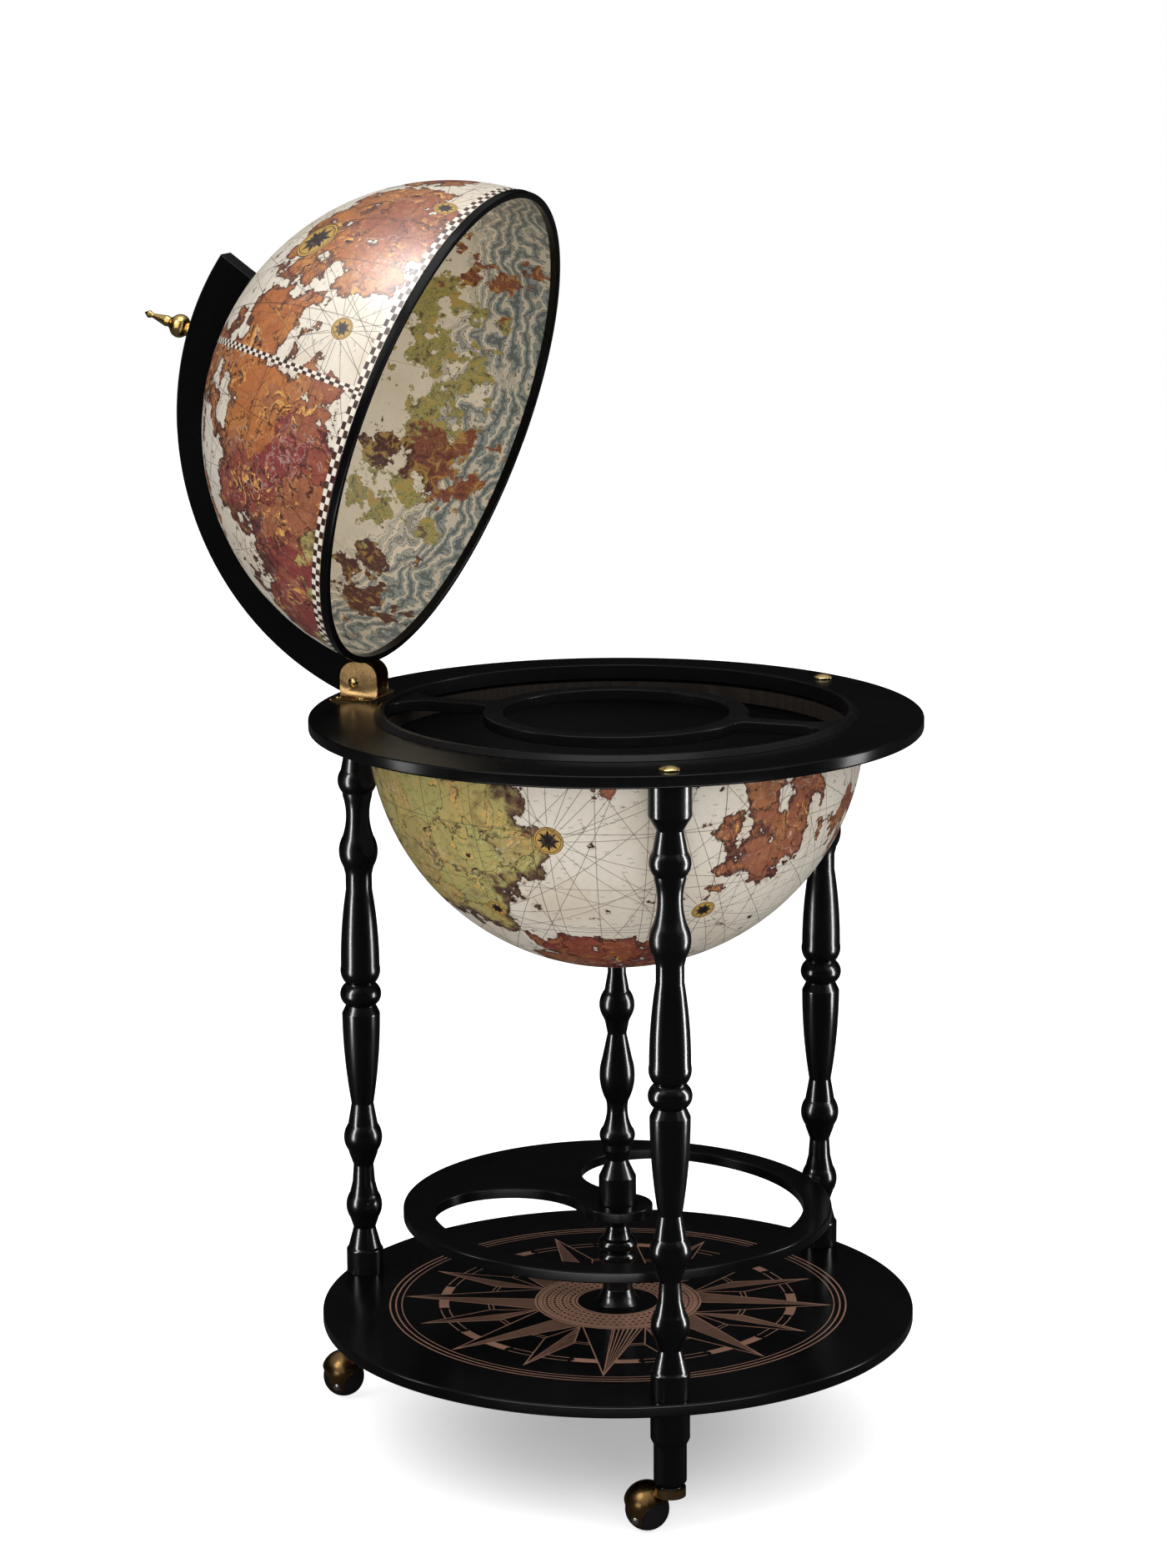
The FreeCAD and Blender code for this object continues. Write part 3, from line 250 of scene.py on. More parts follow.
def lathe(points: Sequence[Point], closed: bool = False, rounding: float = 0.0006,
          segments: int = 96, least: float = 16.0) -> Mesh:
    """Turn an outline about Z.

    Args:
        points: (radius, height) points.
        closed: True for an outline that doesn't reach the axis.
        rounding: size of the rounded corners.
        segments: steps of the turn.
        least: corners that turn by less than this many degrees stay as they are.

    Returns:
        The mesh, with its normals outwards.
    """
    bm = bmesh.new()
    verts = [bm.verts.new((r, 0.0, z)) for r, z in points]
    for pair in zip(verts, verts[1:] + verts[:1] if closed else verts[1:]):
        bm.edges.new(pair)
    if rounding:
        bmesh.ops.bevel(bm, geom=corners(verts, closed, least), offset=rounding,
                        offset_type="OFFSET", segments=3, profile=0.5, affect="VERTICES",
                        clamp_overlap=True, material=-1)
    bmesh.ops.spin(bm, geom=bm.verts[:] + bm.edges[:], axis=(0, 0, 1), cent=(0, 0, 0),
                   dvec=(0, 0, 0), angle=math.tau, steps=segments, use_merge=True,
                   use_duplicate=False)
    bmesh.ops.remove_doubles(bm, verts=bm.verts[:], dist=WELD)
    bmesh.ops.recalc_face_normals(bm, faces=bm.faces[:])
    return bm


def slab(loops: Sequence[Sequence[Point]], low: float, high: float,
         rounding: float = 0.0012, segments: int = 3) -> Mesh:
    """Flat board between two heights, with rounded edges.

    Args:
        loops: outer outline and holes, as (x, y) points.
        low: height of the under face.
        high: height of the top face.
        rounding: width of the rounded edges.
        segments: steps of the rounding.

    Returns:
        The mesh, with its normals outwards.
    """
    bm = bmesh.new()
    for loop in loops:
        verts = [bm.verts.new((x, y, low)) for x, y in loop]
        for pair in zip(verts, verts[1:] + verts[:1]):
            bm.edges.new(pair)
    bmesh.ops.triangle_fill(bm, edges=bm.edges[:], use_beauty=True, use_dissolve=False)
    grown = bmesh.ops.extrude_face_region(bm, geom=bm.faces[:])
    lifted = [v for v in grown["geom"] if isinstance(v, bmesh.types.BMVert)]
    bmesh.ops.translate(bm, verts=lifted, vec=(0, 0, high - low))
    bmesh.ops.recalc_face_normals(bm, faces=bm.faces[:])
    rims = [e for e in bm.edges if len(e.link_faces) == 2 and CREASE < e.calc_face_angle(0.0)
            and abs(e.verts[0].co.z - e.verts[1].co.z) < LEVEL]
    if rounding:
        bmesh.ops.bevel(bm, geom=rims, offset=rounding, offset_type="OFFSET",
                        segments=segments, profile=0.5, affect="EDGES",
                        clamp_overlap=False, material=-1)
    bmesh.ops.remove_doubles(bm, verts=bm.verts[:], dist=WELD)
    return bm


def merged(parts: Iterable[Mesh]) -> Mesh:
    """One mesh out of several; the parts are freed."""
    whole = bmesh.new()
    for part in parts:
        scrap = bpy.data.meshes.new("scrap")
        part.to_mesh(scrap)
        part.free()
        whole.from_mesh(scrap)
        bpy.data.meshes.remove(scrap)
    return whole


def refined(node: str) -> Mesh:
    """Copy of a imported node's mesh with its loose triangles joined."""
    bm = bmesh.new()
    bm.from_mesh(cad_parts[node].data)
    bmesh.ops.remove_doubles(bm, verts=bm.verts[:], dist=2 * WELD)
    return bm


def finish_piece(name: str, bm: Mesh, body: str, materials: Sequence[Material],
                 nodes: Sequence[str] = (), place: Optional[Matrix] = None, sharp: float = 38.0,
                 pick: Optional[Callable[[Vector], int]] = None) -> bpy.types.Object:
    """Make a piece of a mesh, let it ride on its body and stand for its nodes.

    Args:
        name: the piece's name.
        bm: its mesh, which is freed.
        body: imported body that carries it.
        materials: one or more materials.
        nodes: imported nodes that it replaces.
        place: where the mesh goes.
        sharp: edges that turn by more degrees than this stay crisp.
        pick: gives the material's number from a face's middle.

    Returns:
        The new object, at the origin with its place in its mesh.
    """
    if place:
        bmesh.ops.transform(bm, matrix=place, verts=bm.verts[:])
    for face in bm.faces:
        face.smooth = True
        if pick:
            face.material_index = pick(face.calc_center_median())
    mesh = bpy.data.meshes.new(name)
    bm.to_mesh(mesh)
    bm.free()
    mesh.set_sharp_from_angle(angle=math.radians(sharp))
    for material in materials:
        mesh.materials.append(material)
    piece = bpy.data.objects.new(name, mesh)
    bpy.context.scene.collection.objects.link(piece)
    weights = piece.modifiers.new("face_weighted_normals", "WEIGHTED_NORMAL")
    weights.keep_sharp = True
    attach(piece, body)
    if nodes:
        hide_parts(*nodes)
    LOG.info("%s: %d faces on %s, stands for %s", name, len(mesh.polygons), body,
             ", ".join(nodes) or "no node")
    return piece


def dress_node(node: str, material: Material) -> None:
    """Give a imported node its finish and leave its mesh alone."""
    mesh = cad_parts[node].data
    mesh.materials.clear()
    mesh.materials.append(material)
    LOG.info("%s: carried over", node)


# ---------------------------------------------------------------- node trees
def math_method(operation: str, turned: bool = False) -> Callable:
    """Operator of two values that lays out a Math node; turned takes them the other way."""
    def method(self: "Signal", other: "Value") -> "Signal":
        """Result of the operation."""
        return self.nodes.sum(operation, *((other, self) if turned else (self, other)))
    return method


class Signal:
    """Output of a node; sums and comparisons with it lay out Math nodes."""

    def __init__(self, nodes: "Nodes", socket: bpy.types.NodeSocket) -> None:
        """Wrap a socket.

        Args:
            nodes: tree that the Math nodes go in.
            socket: the node's output.
        """
        self.nodes, self.socket = nodes, socket

    __add__ = __radd__ = math_method("ADD")
    __sub__ = math_method("SUBTRACT")
    __rsub__ = math_method("SUBTRACT", turned=True)
    __mul__ = __rmul__ = math_method("MULTIPLY")
    __truediv__ = math_method("DIVIDE")
    __gt__ = math_method("GREATER_THAN")
    __lt__ = math_method("LESS_THAN")

    def __abs__(self) -> "Signal":
        """Size without its sign."""
        return self.nodes.sum("ABSOLUTE", self)


Value = Signal | float


class Nodes:
    """Short way to lay out a node tree."""

    def __init__(self, tree: Tree) -> None:
        """Start on a tree.

        Args:
            tree: node tree of a material, a world or a group.
        """
        self.tree = tree

    def add(self, kind: str, **settings: object) -> bpy.types.Node:
        """New node of a kind, with its plain settings."""
        node = self.tree.nodes.new("ShaderNode" + kind)
        for key, value in settings.items():
            setattr(node, key, value)
        return node

    def put(self, socket: bpy.types.NodeSocket, value: object) -> None:
        """Link a socket, or set its plain value."""
        if isinstance(value, Signal):
            self.tree.links.new(value.socket, socket)
        elif socket.type == "RGBA":
            socket.default_value = (*value, 1.0)
        else:
            socket.default_value = value

    def fill(self, sockets: Sockets, **values: object) -> None:
        """Link or set several sockets; underscores in names stand for spaces."""
        for name, value in values.items():
            self.put(sockets[name.replace("_", " ")], value)

    def read(self, kind: str, output: str) -> Signal:
        """Output of a new input node."""
        return Signal(self, self.add(kind).outputs[output])

    def sum(self, operation: str, *values: Value) -> Signal:
        """Result of a Math node."""
        node = self.add("Math", operation=operation)
        for socket, value in zip(node.inputs, values):
            self.put(socket, value)
        return Signal(self, node.outputs[0])

    def vector(self, operation: str, first: object, second: object = None) -> Signal:
        """Result of a Vector Math node, a number for a dot product."""
        node = self.add("VectorMath", operation=operation)
        self.put(node.inputs[0], first)
        if second is not None:
            self.put(node.inputs[3 if operation == "SCALE" else 1], second)
        return Signal(self, node.outputs[1 if operation == "DOT_PRODUCT" else 0])

    def dot(self, first: object, second: object) -> Signal:
        """Dot product of two vectors."""
        return self.vector("DOT_PRODUCT", first, second)

    def most(self, *values: Value) -> Signal:
        """Largest of several values."""
        return reduce(lambda one, other: self.sum("MAXIMUM", one, other), values)

    def least(self, *values: Value) -> Signal:
        """Smallest of several values."""
        return reduce(lambda one, other: self.sum("MINIMUM", one, other), values)

    def sine(self, value: Value) -> Signal:
        """Sine of an angle in radians."""
        return self.sum("SINE", value)

    def wrap(self, value: Value, half: float) -> Signal:
        """Value folded into a range about zero."""
        return self.sum("WRAP", value, half, -half)

    def zigzag(self, value: Value) -> Signal:
        """Value that runs up and down between 0 and a half."""
        return self.sum("PINGPONG", value, 0.5)

    def band(self, value: Value, middle: float, width: float, soft: float) -> Signal:
        """Mask of a line: 1 where the value is within half a width of the middle."""
        return self.fade(abs(value - middle), width / 2 + soft, width / 2 - soft)

    def fade(self, value: Value, low: float, high: float) -> Signal:
        """Smooth mask that goes from 0 at low to 1 at high."""
        node = self.add("MapRange", interpolation_type="SMOOTHSTEP")
        self.fill(node.inputs, Value=value, From_Min=low, From_Max=high)
        return Signal(self, node.outputs["Result"])

    def span(self, value: Value, low: float, high: float, start: float, stop: float) -> Signal:
        """Value carried from one range to another, in a straight line."""
        node = self.add("MapRange")
        self.fill(node.inputs, Value=value, From_Min=low, From_Max=high, To_Min=start, To_Max=stop)
        return Signal(self, node.outputs["Result"])

    def mix(self, share: Value, first: object, second: object) -> Signal:
        """Blend of two colours."""
        node = self.add("Mix", data_type="RGBA")
        for number, value in ((0, share), (6, first), (7, second)):
            self.put(node.inputs[number], value)
        return Signal(self, node.outputs[2])

    def layers(self, base: object, *layers: tuple[Value, object]) -> Signal:
        """Colours laid over a base in turn, each by its own mask."""
        for mask, colour in layers:
            base = self.mix(mask, base, colour)
        return base

    def noise(self, vector: Signal, scale: float, detail: float = 2.0, rough: float = 0.5,
              distort: float = 0.0, kind: str = "FBM", output: str = "Fac") -> Signal:
        """Noise texture: its value, or its colour."""
        node = self.add("TexNoise", noise_type=kind)
        self.fill(node.inputs, Vector=vector, Scale=scale, Detail=detail, Roughness=rough,
                  Distortion=distort)
        return Signal(self, node.outputs[output])

    def drift(self, vector: Signal, scale: float, detail: float, rough: float,
              reach: float) -> Signal:
        """Push to any side, of about half the reach at most."""
        colour = self.noise(vector, scale, detail, rough, output="Color")
        return self.vector("SCALE", self.vector("SUBTRACT", colour, HALF_WAY), reach)

    def outputs(self, node: bpy.types.Node) -> dict[str, Signal]:
        """Every output of a node by its name."""
        return {socket.name: Signal(self, socket) for socket in node.outputs}

    def cells(self, vector: Signal, scale: float, feature: str = "F1") -> dict[str, Signal]:
        """Voronoi texture."""
        node = self.add("TexVoronoi", feature=feature)
        self.fill(node.inputs, Vector=vector, Scale=scale)
        return self.outputs(node)

    def split(self, vector: Signal) -> tuple[Signal, ...]:
        """The x, y and z of a vector."""
        node = self.add("SeparateXYZ")
        self.put(node.inputs[0], vector)
        return tuple(Signal(self, socket) for socket in node.outputs)

    def polar(self, across: Signal, up: Signal) -> tuple[Signal, Signal]:
        """Radius and angle in degrees of a flat point."""
        return (self.sum("SQRT", across * across + up * up),
                self.sum("DEGREES", self.sum("ARCTAN2", up, across)))

    def bump(self, height: Signal, strength: float, distance: float) -> Signal:
        """Normal of a small relief."""
        node = self.add("Bump")
        self.fill(node.inputs, Height=height, Strength=strength, Distance=distance)
        return Signal(self, node.outputs["Normal"])

    def group(self, tree: Tree, **values: object) -> dict[str, Signal]:
        """A shared effect, with its own values."""
        node = self.add("Group", node_tree=tree)
        self.fill(node.inputs, **values)
        return self.outputs(node)

    def give(self, **values: Signal) -> Tree:
        """Close a shared node group with its outputs."""
        kinds = {"VALUE": "NodeSocketFloat", "RGBA": "NodeSocketColor"}
        for name, value in values.items():
            self.tree.interface.new_socket(name, in_out="OUTPUT",
                                           socket_type=kinds[value.socket.type])
        self.fill(self.tree.nodes.new("NodeGroupOutput").inputs, **values)
        return self.tree


def heading(azimuth: float, height: float) -> Vector:
    """Direction from an azimuth and a height in degrees."""
    turn, lift = math.radians(azimuth), math.radians(height)
    return Vector((math.cos(turn) * math.cos(lift), math.sin(turn) * math.cos(lift),
                   math.sin(lift)))


def effect(name: str, **takes: object) -> tuple[Nodes, dict[str, Signal]]:
    """Start a shared node group.

    Args:
        name: its name.
        takes: first value of each input: a number, a vector of 3 or a colour of 4 numbers.

    Returns:
        Its Nodes and its inputs.
    """
    tree = bpy.data.node_groups.new(name, "ShaderNodeTree")
    for label, value in takes.items():
        size = 1 if isinstance(value, float) else len(value)
        kind = {1: "NodeSocketFloat", 3: "NodeSocketVector", 4: "NodeSocketColor"}[size]
        socket = tree.interface.new_socket(label, in_out="INPUT", socket_type=kind)
        socket.default_value = value
    n = Nodes(tree)
    return n, n.outputs(tree.nodes.new("NodeGroupInput"))


def new_material(name: str) -> tuple[Material, Nodes, Sockets]:
    """New node material, its Nodes and its shader's sockets."""
    material = bpy.data.materials.new(name)
    material.use_nodes = True
    shader = material.node_tree.nodes["Principled BSDF"]
    return material, Nodes(material.node_tree), shader.inputs


# ---------------------------------------------------------------- finishes
class Effects:
    """The shared effects, each built once."""

    def __init__(self) -> None:
        """Build every group."""
        self.skin = self._skin()
        self.tarnish = self._tarnish()
        self.rose = self._tray_rose()
        self.small_rose = self._small_rose()
        self.chart = self._chart()
        self.lining = self._lining()
        self.wear = self._wear()

    def _skin(self) -> Tree:
        """Uneven gloss and faint relief of a painted or moulded surface."""
        n, given = effect("painted_skin", Grain=(1.0, 1.0, 1.0), Gloss=0.2, Spread=0.1, Relief=1.0)
        place = n.read("TexCoord", "Object")
        pores = n.noise(n.vector("MULTIPLY", place, given["Grain"]), 900.0, 3.0, 0.6)
        peel = n.noise(place, 260.0)
        smears = n.noise(place, 9.0, 5.0, 0.65, 0.6)
        dust = n.noise(place, 2200.0, 1.0)
        return n.give(Roughness=n.fade(smears, 0.3, 0.75) * given["Spread"] + given["Gloss"],
                      Height=(pores * 0.5 + peel) * given["Relief"],
                      Haze=n.fade(dust, 0.62, 0.8) * n.fade(smears, 0.4, 0.7))

    def _tarnish(self) -> Tree:
        """Darkened patches and fine scratches of metal."""
        n, given = effect("metal_tarnish", Clean=(0.6, 0.4, 0.15, 1.0), Dark=(0.2, 0.1, 0.04, 1.0),
                          Amount=0.5, Gloss=0.25)
        place = n.read("TexCoord", "Object")
        clouds = n.noise(place, 60.0, 6.0, 0.65, 0.4)
        specks = n.noise(place, 700.0, 3.0, 0.6)
        brushed = n.noise(n.vector("MULTIPLY", place, (1.0, 1.0, 14.0)), 420.0)
        share = n.fade(specks * 0.35 + clouds, 0.5, 0.9) * given["Amount"]
        return n.give(Color=n.mix(share, given["Clean"], given["Dark"]),
                      Roughness=share * 0.3 + given["Gloss"], Height=brushed * 0.4 + specks)

    def _wear(self) -> Tree:
        """Rubbed edges: a mask that is broken up by noise."""
        n, given = effect("edge_wear", Amount=0.5)
        broken = n.noise(n.read("TexCoord", "Object"), 90.0, 4.0, 0.65)
        edge = (broken - 0.5) * 0.08 + n.read("NewGeometry", "Pointiness")
        return n.give(Mask=n.fade(edge, 0.52, 0.6) * given["Amount"])

    def _tray_rose(self) -> Tree:
        """Inlaid compass rose about Z, drawn in millimetres and degrees."""
        n, given = effect("tray_rose", Millimetres=ORIGIN)
        x, y, _ = n.split(given["Millimetres"])
        radius, angle = n.polar(x, y)
        soft = 0.18

        def ring(middle: float, width: float) -> Signal:
            """Mask of a circle."""
            return n.band(radius, middle, width, soft)

        blocks = abs(n.wrap(angle - 16.0, 22.5))
        belt = n.most(ring(144.0, 8.2) * n.fade(blocks, 10.4, 10.2), ring(140.6, 1.0),
                      ring(147.4, 1.0)) * (1.0 - n.band(blocks, 11.5, 1.2, 0.1))
        under = n.most(ring(188.6, 1.3), ring(183.8, 1.3), ring(178.9, 0.9), belt,
                       ring(103.8, 0.8), ring(107.4, 0.8))
        plain = abs(n.wrap(angle - 286.0, 180.0)) > 20.0
        # Two stars: start angle, tip, width for its length and, if any, how its foot widens.
        for start, tip, wide, back in ((38.5, 170.5, 0.215, 0.36), (16.0, 177.5, 0.2203, 0.0)):
            turn = n.sum("RADIANS", n.wrap(angle - start, 22.5))
            along, across = radius * n.sum("COSINE", turn), radius * n.sine(turn)
            side = abs(across)
            room = (tip - along) * wide
            if back:
                room = n.least(room, (along - 68.0) * back)
            inside = n.fade(room - side, -soft, soft)
            edge = inside * n.fade(room - side, 1.1 + soft, 1.1 - soft)
            rays = n.fade(n.zigzag(side / n.most(tip - along, 1.0) * (6.5 / wide)), 0.27, 0.36)
            hatch = plain * 0.4 + rays * (1.0 - plain)
            half = n.fade(across, -soft, soft) * hatch
            spine = inside * n.band(across, 0.0, 0.7, soft)
            under = under * (1.0 - inside) + n.most(edge, spine, inside * half)
        rope = n.fade(radius, 33.0, 33.4) * n.fade(radius, 69.4, 69.0)
        cuts = [ring(35.4, 0.8), ring(66.8, 0.8)]
        for number, middle in enumerate((39.5, 46.0, 52.5, 59.0)):
            dash = n.sine(n.sum("RADIANS", angle) * (46.0 + 8 * number))
            cuts += [ring(middle, 2.0) * n.fade(dash, -0.5, -0.1), ring(middle + 3.2, 0.45)]
        return n.give(Copper=n.most(under * n.fade(radius, 69.0, 69.4),
                                    rope * (1.0 - n.most(*cuts))))

    def _small_rose(self) -> Tree:
        """Little wind rose on a chart and the fine lines that run out of it."""
        n, given = effect("wind_rose", Direction=ORIGIN, Centre=ORIGIN, East=ORIGIN, North=ORIGIN,
                          Size=0.07)
        ahead, point = given["Direction"], 22.5
        near = n.fade(n.dot(ahead, given["Centre"]), 0.0, 0.05)
        radius, angle = n.polar(n.dot(ahead, given["East"]), n.dot(ahead, given["North"]))
        size = radius / given["Size"]
        disc = n.fade(size, 1.03, 0.99) * near
        stars = []
        for turn, tip, root in ((angle, 0.78, 0.22), (angle + point, 0.6, 0.2)):
            edge = n.span(abs(n.wrap(turn, point)), 0.0, point, tip, root)
            stars.append(n.fade(edge - size, -0.02, 0.02))
        rings = [n.band(size, middle, width, 0.02)
                 for middle, width in ((0.99, 0.06), (0.84, 0.04), (0.16, 0.05))]
        lines = abs(n.sine(n.sum("RADIANS", angle * 8.0)) * radius)
        return n.give(Disc=disc, Star=disc * stars[1], Ink=disc * n.most(stars[0], *rings),
                      Lines=n.fade(lines, 0.0115, 0.007) * near * n.fade(size, 1.0, 1.4))

    def _patches(self, n: Nodes, ahead: Signal, table: Sequence[tuple], field: Value,
                 tint: object) -> tuple[Signal, Signal]:
        """Caps of a sphere that stand above a field, each with its own tint.

        Args:
            n: tree that they are laid out in.
            ahead: direction, already bent by noise.
            table: azimuth, height, reach and tint of each cap.
            field: field that they are added to.
            tint: colour below it.

        Returns:
            The field, in radians of arc inside the caps, and the tint of the highest cap.
        """
        for azimuth, height, reach, colour in table:
            far = math.radians(reach)
            rise = n.sum("MULTIPLY_ADD", n.dot(ahead, heading(azimuth, height)),
                         1 / math.sin(far), -1 / math.tan(far))
            tint = n.mix(rise > field, tint, colour)
            field = n.most(rise, field)
        return field, tint

    def _bent(self, n: Nodes, ahead: Signal, wide: float, fine: float) -> Signal:
        """Direction pushed about by coarse and ragged noise."""
        push = n.vector("ADD", n.drift(ahead, 2.2, 3.0, 0.55, wide),
                        n.drift(ahead, 9.0, 6.0, 0.62, fine))
        return n.vector("ADD", ahead, push)

    def _paper(self, n: Nodes, ahead: Signal, cream: Colour, scale: float, high: float,
               stain: float, fibre: float) -> Signal:
        """Parchment with stains and fibres, as shares of the stain's colour."""
        stains = n.noise(ahead, scale, 5.0, 0.6)
        fibres = n.noise(ahead, 60.0, 3.0, 0.7)
        return n.layers(cream, (n.fade(stains, 0.42, high) * stain, CREAM_STAIN),
                        (n.fade(fibres, 0.45, 0.8) * fibre, CREAM_STAIN))

    def _chart(self) -> Tree:
        """Old-style chart on a sphere, from a direction out of its centre."""
        n, given = effect("globe_chart", Direction=ORIGIN)
        ahead = given["Direction"]
        bent = self._bent(n, ahead, 0.36, 0.22)
        isles = n.cells(bent, 11.0)["Distance"]
        shoal = n.noise(ahead, 3.3, 1.0)
        field = n.least(n.span(isles, 0.0, 0.3, 0.03, -0.03), n.span(shoal, 0.53, 0.6, -0.03, 0.03))
        field, tint = self._patches(n, bent, CHART_LANDS, field, MAROON)
        land = n.fade(field, -COAST, COAST)
        x, y, z = n.split(ahead)
        turn, level = n.sum("ARCTAN2", y, x), n.sum("ARCSINE", z)
        grid = n.least(n.sum("COSINE", level) * abs(n.sine(turn * 12.0)), abs(n.sine(level * 12.0)))
        chart = n.layers(self._sea(n, ahead, field),
                         (land, self._ground(n, ahead, bent, field, tint)),
                         (n.band(field, 0.001, 0.012, 0.003) * 0.97, INK),
                         (self._stamps(n, ahead, land) * 0.85, INK),
                         (n.fade(grid, 0.034, 0.016) * 0.5, INK))
        for azimuth, height, size in CHART_ROSES:
            centre, east = heading(azimuth, height), heading(azimuth + 90, 0)
            rose = n.group(self.small_rose, Direction=ahead, Centre=centre, East=east,
                           North=centre.cross(east), Size=size)
            chart = n.layers(chart, (rose["Lines"] * (0.8 - land * 0.35), INK),
                             (rose["Disc"], ROSE_GOLD), (rose["Star"], ROSE_DARK),
                             (rose["Ink"], INK))
        for mask, first, second in self._checks(n, ahead, turn, level):
            odd = n.sum("FLOORED_MODULO", n.sum("FLOOR", first) + n.sum("FLOOR", second), 2.0)
            chart = n.mix(mask, chart, n.mix(odd, CREAM, HILL_DARK))
        return n.give(Color=chart)

    def _sea(self, n: Nodes, ahead: Signal, field: Signal) -> Signal:
        """Stained parchment, a little darker along the coasts."""
        sea = self._paper(n, ahead, CREAM, 2.6, 0.78, 0.5, 0.22)
        shore = n.fade(field, -0.04, 0.0) * n.span(n.zigzag(field * 70.0), 0.0, 0.5, 0.35, 0.05)
        return n.layers(sea, (shore, INK), (n.fade(field, -0.03, 0.0) * 0.4, SHORE_TINT))

    def _ground(self, n: Nodes, ahead: Signal, bent: Signal, field: Signal,
                tint: Signal) -> Signal:
        """Land: washes of colour, drawn hills, rivers and borders, burnt coasts."""
        pick, other, _ = n.split(n.cells(bent, 4.6)["Color"])
        lit = n.mix(0.45, tint, LAND_GLOW)
        wash = n.noise(ahead, 8.0, 6.0, 0.66, 0.8)
        hilly = n.fade(n.noise(ahead, 5.2), 0.46, 0.53)
        aside = n.vector("ADD", bent, (0.006, 0.006, 0.004))
        peaks, beside = (n.noise(where, 11.0, 3.0, 0.55, 1.6, "RIDGED_MULTIFRACTAL")
                         for where in (bent, aside))
        slope = peaks - beside
        border = n.cells(bent, 4.6, "DISTANCE_TO_EDGE")["Distance"]
        rivers = n.noise(bent, 2.6, 3.0)
        return n.layers(tint, (n.fade(pick, 0.55, 0.75) * 0.6, lit),
                        (n.fade(other, 0.6, 0.8) * 0.25, RUST),
                        (n.fade(wash, 0.5, 0.70) * 0.7, lit),
                        (n.fade(wash, 0.50, 0.28) * 0.6, LAND_DEEP),
                        (n.fade(slope, 0.0, 0.16) * hilly, HILL_LIGHT),
                        (n.fade(slope, -0.02, -0.22) * hilly, HILL_DARK),
                        (n.fade(peaks, 1.02, 1.16) * (hilly * 0.6 + 0.3), INK),
                        (n.fade(border, 0.02, 0.009) * 0.8, INK),
                        (n.band(rivers, 0.5, 0.005, 0.002) * 0.3, CREAM),
                        (n.fade((wash - 0.5) * 0.16 + field, 0.1, 0.008) * 0.92, SCORCH))

    def _stamps(self, n: Nodes, ahead: Signal, land: Signal) -> Signal:
        """Small pen marks: peaks on land and swells at sea, one in some of the cells."""
        spots = n.cells(ahead, 24.0)
        offset = n.vector("SCALE", n.vector("SUBTRACT", ahead, spots["Position"]), 200.0)
        x, y, _ = n.split(ahead)
        _, _, climb = n.split(offset)
        east = n.add("CombineXYZ")
        n.fill(east.inputs, X=y * -1.0, Y=x)
        across = n.dot(offset, n.vector("NORMALIZE", Signal(n, east.outputs[0])))
        side = abs(across)
        peak = side * 1.15 + (climb - 1.2)
        swell = climb - n.sine(across * 2.2) * 0.5
        line = peak * land + swell * (1.0 - land)
        chance, _, _ = n.split(spots["Color"])
        return (n.band(line, 0.0, 0.42, 0.14) * n.fade(side, 2.3, 1.9)
                * (chance > 0.62 - land * 0.35))

    def _checks(self, n: Nodes, ahead: Signal, turn: Signal, level: Signal) -> list[tuple]:
        """Chequered bands by the rim and along two meridians.

        Returns:
            A mask and two counts of checks for each band.
        """
        climb = (level - CHECK_LEVEL) / RIM_ROW
        bands = [((climb > 0.0) * (climb < 2.0), turn / RIM_DASH, climb)]
        for azimuth in CHECK_MERIDIANS:
            across = n.dot(ahead, heading(azimuth + 90, 0)) / BAND_ROW
            strip = ((n.dot(ahead, heading(azimuth, 0)) > 0.0) * (abs(across) < 1.0)
                     * (level > CHECK_LEVEL) * (level < CHECK_TOP))
            bands.append((strip, across + 40.0, level / BAND_DASH))
        return bands

    def _lining(self) -> Tree:
        """Cream lining with drawn waves and a few painted patches."""
        n, given = effect("painted_lining", Direction=ORIGIN)
        ahead = given["Direction"]
        cream = self._paper(n, ahead, LINING_CREAM, 2.4, 0.75, 0.4, 0.2)
        flow = n.vector("ADD", n.vector("ADD", ahead, n.drift(ahead, 3.0, 2.0, 0.5, 0.42)),
                        n.drift(ahead, 9.0, 4.0, 0.6, 0.2))
        _, _, rows = n.split(flow)
        depth = n.fade(rows, 0.50, 0.18)
        crest = n.zigzag(rows * 16.0)
        lively = depth * n.fade(n.noise(ahead, 4.2, 3.0, 0.6), 0.34, 0.44)
        lines = n.most(n.band(crest, 0.17, 0.05, 0.015), n.band(crest, 0.4, 0.04, 0.015))
        field, ground = self._patches(n, self._bent(n, ahead, 0.16, 0.34), LINING_PATCHES, -0.1,
                                      OLIVE)
        daubs = n.noise(ahead, 19.0, 5.0, 0.6, 1.4)
        ground = n.layers(ground, (n.fade(daubs, 0.5, 0.62) * 0.8, ROSE_GOLD),
                          (n.fade(daubs, 0.47, 0.36) * 0.8, SCORCH),
                          (n.band(daubs, 0.5, 0.02, 0.006) * 0.85, INK))
        return n.give(Color=n.layers(cream, (n.fade(crest, 0.16, 0.24) * lively * 0.85, WAVE_BLUE),
                                     (n.fade(crest, 0.38, 0.46) * lively * 0.8, WAVE_DEEP),
                                     (n.fade(depth, 0.55, 1.0) * 0.3, WAVE_BLUE),
                                     (lines * n.fade(depth, 0.0, 0.25) * 0.85, WAVE_DEEP),
                                     (n.fade(field, -COAST, COAST), ground),
                                     (n.band(field, 0.0, 0.009, 0.003) * 0.85, INK)))


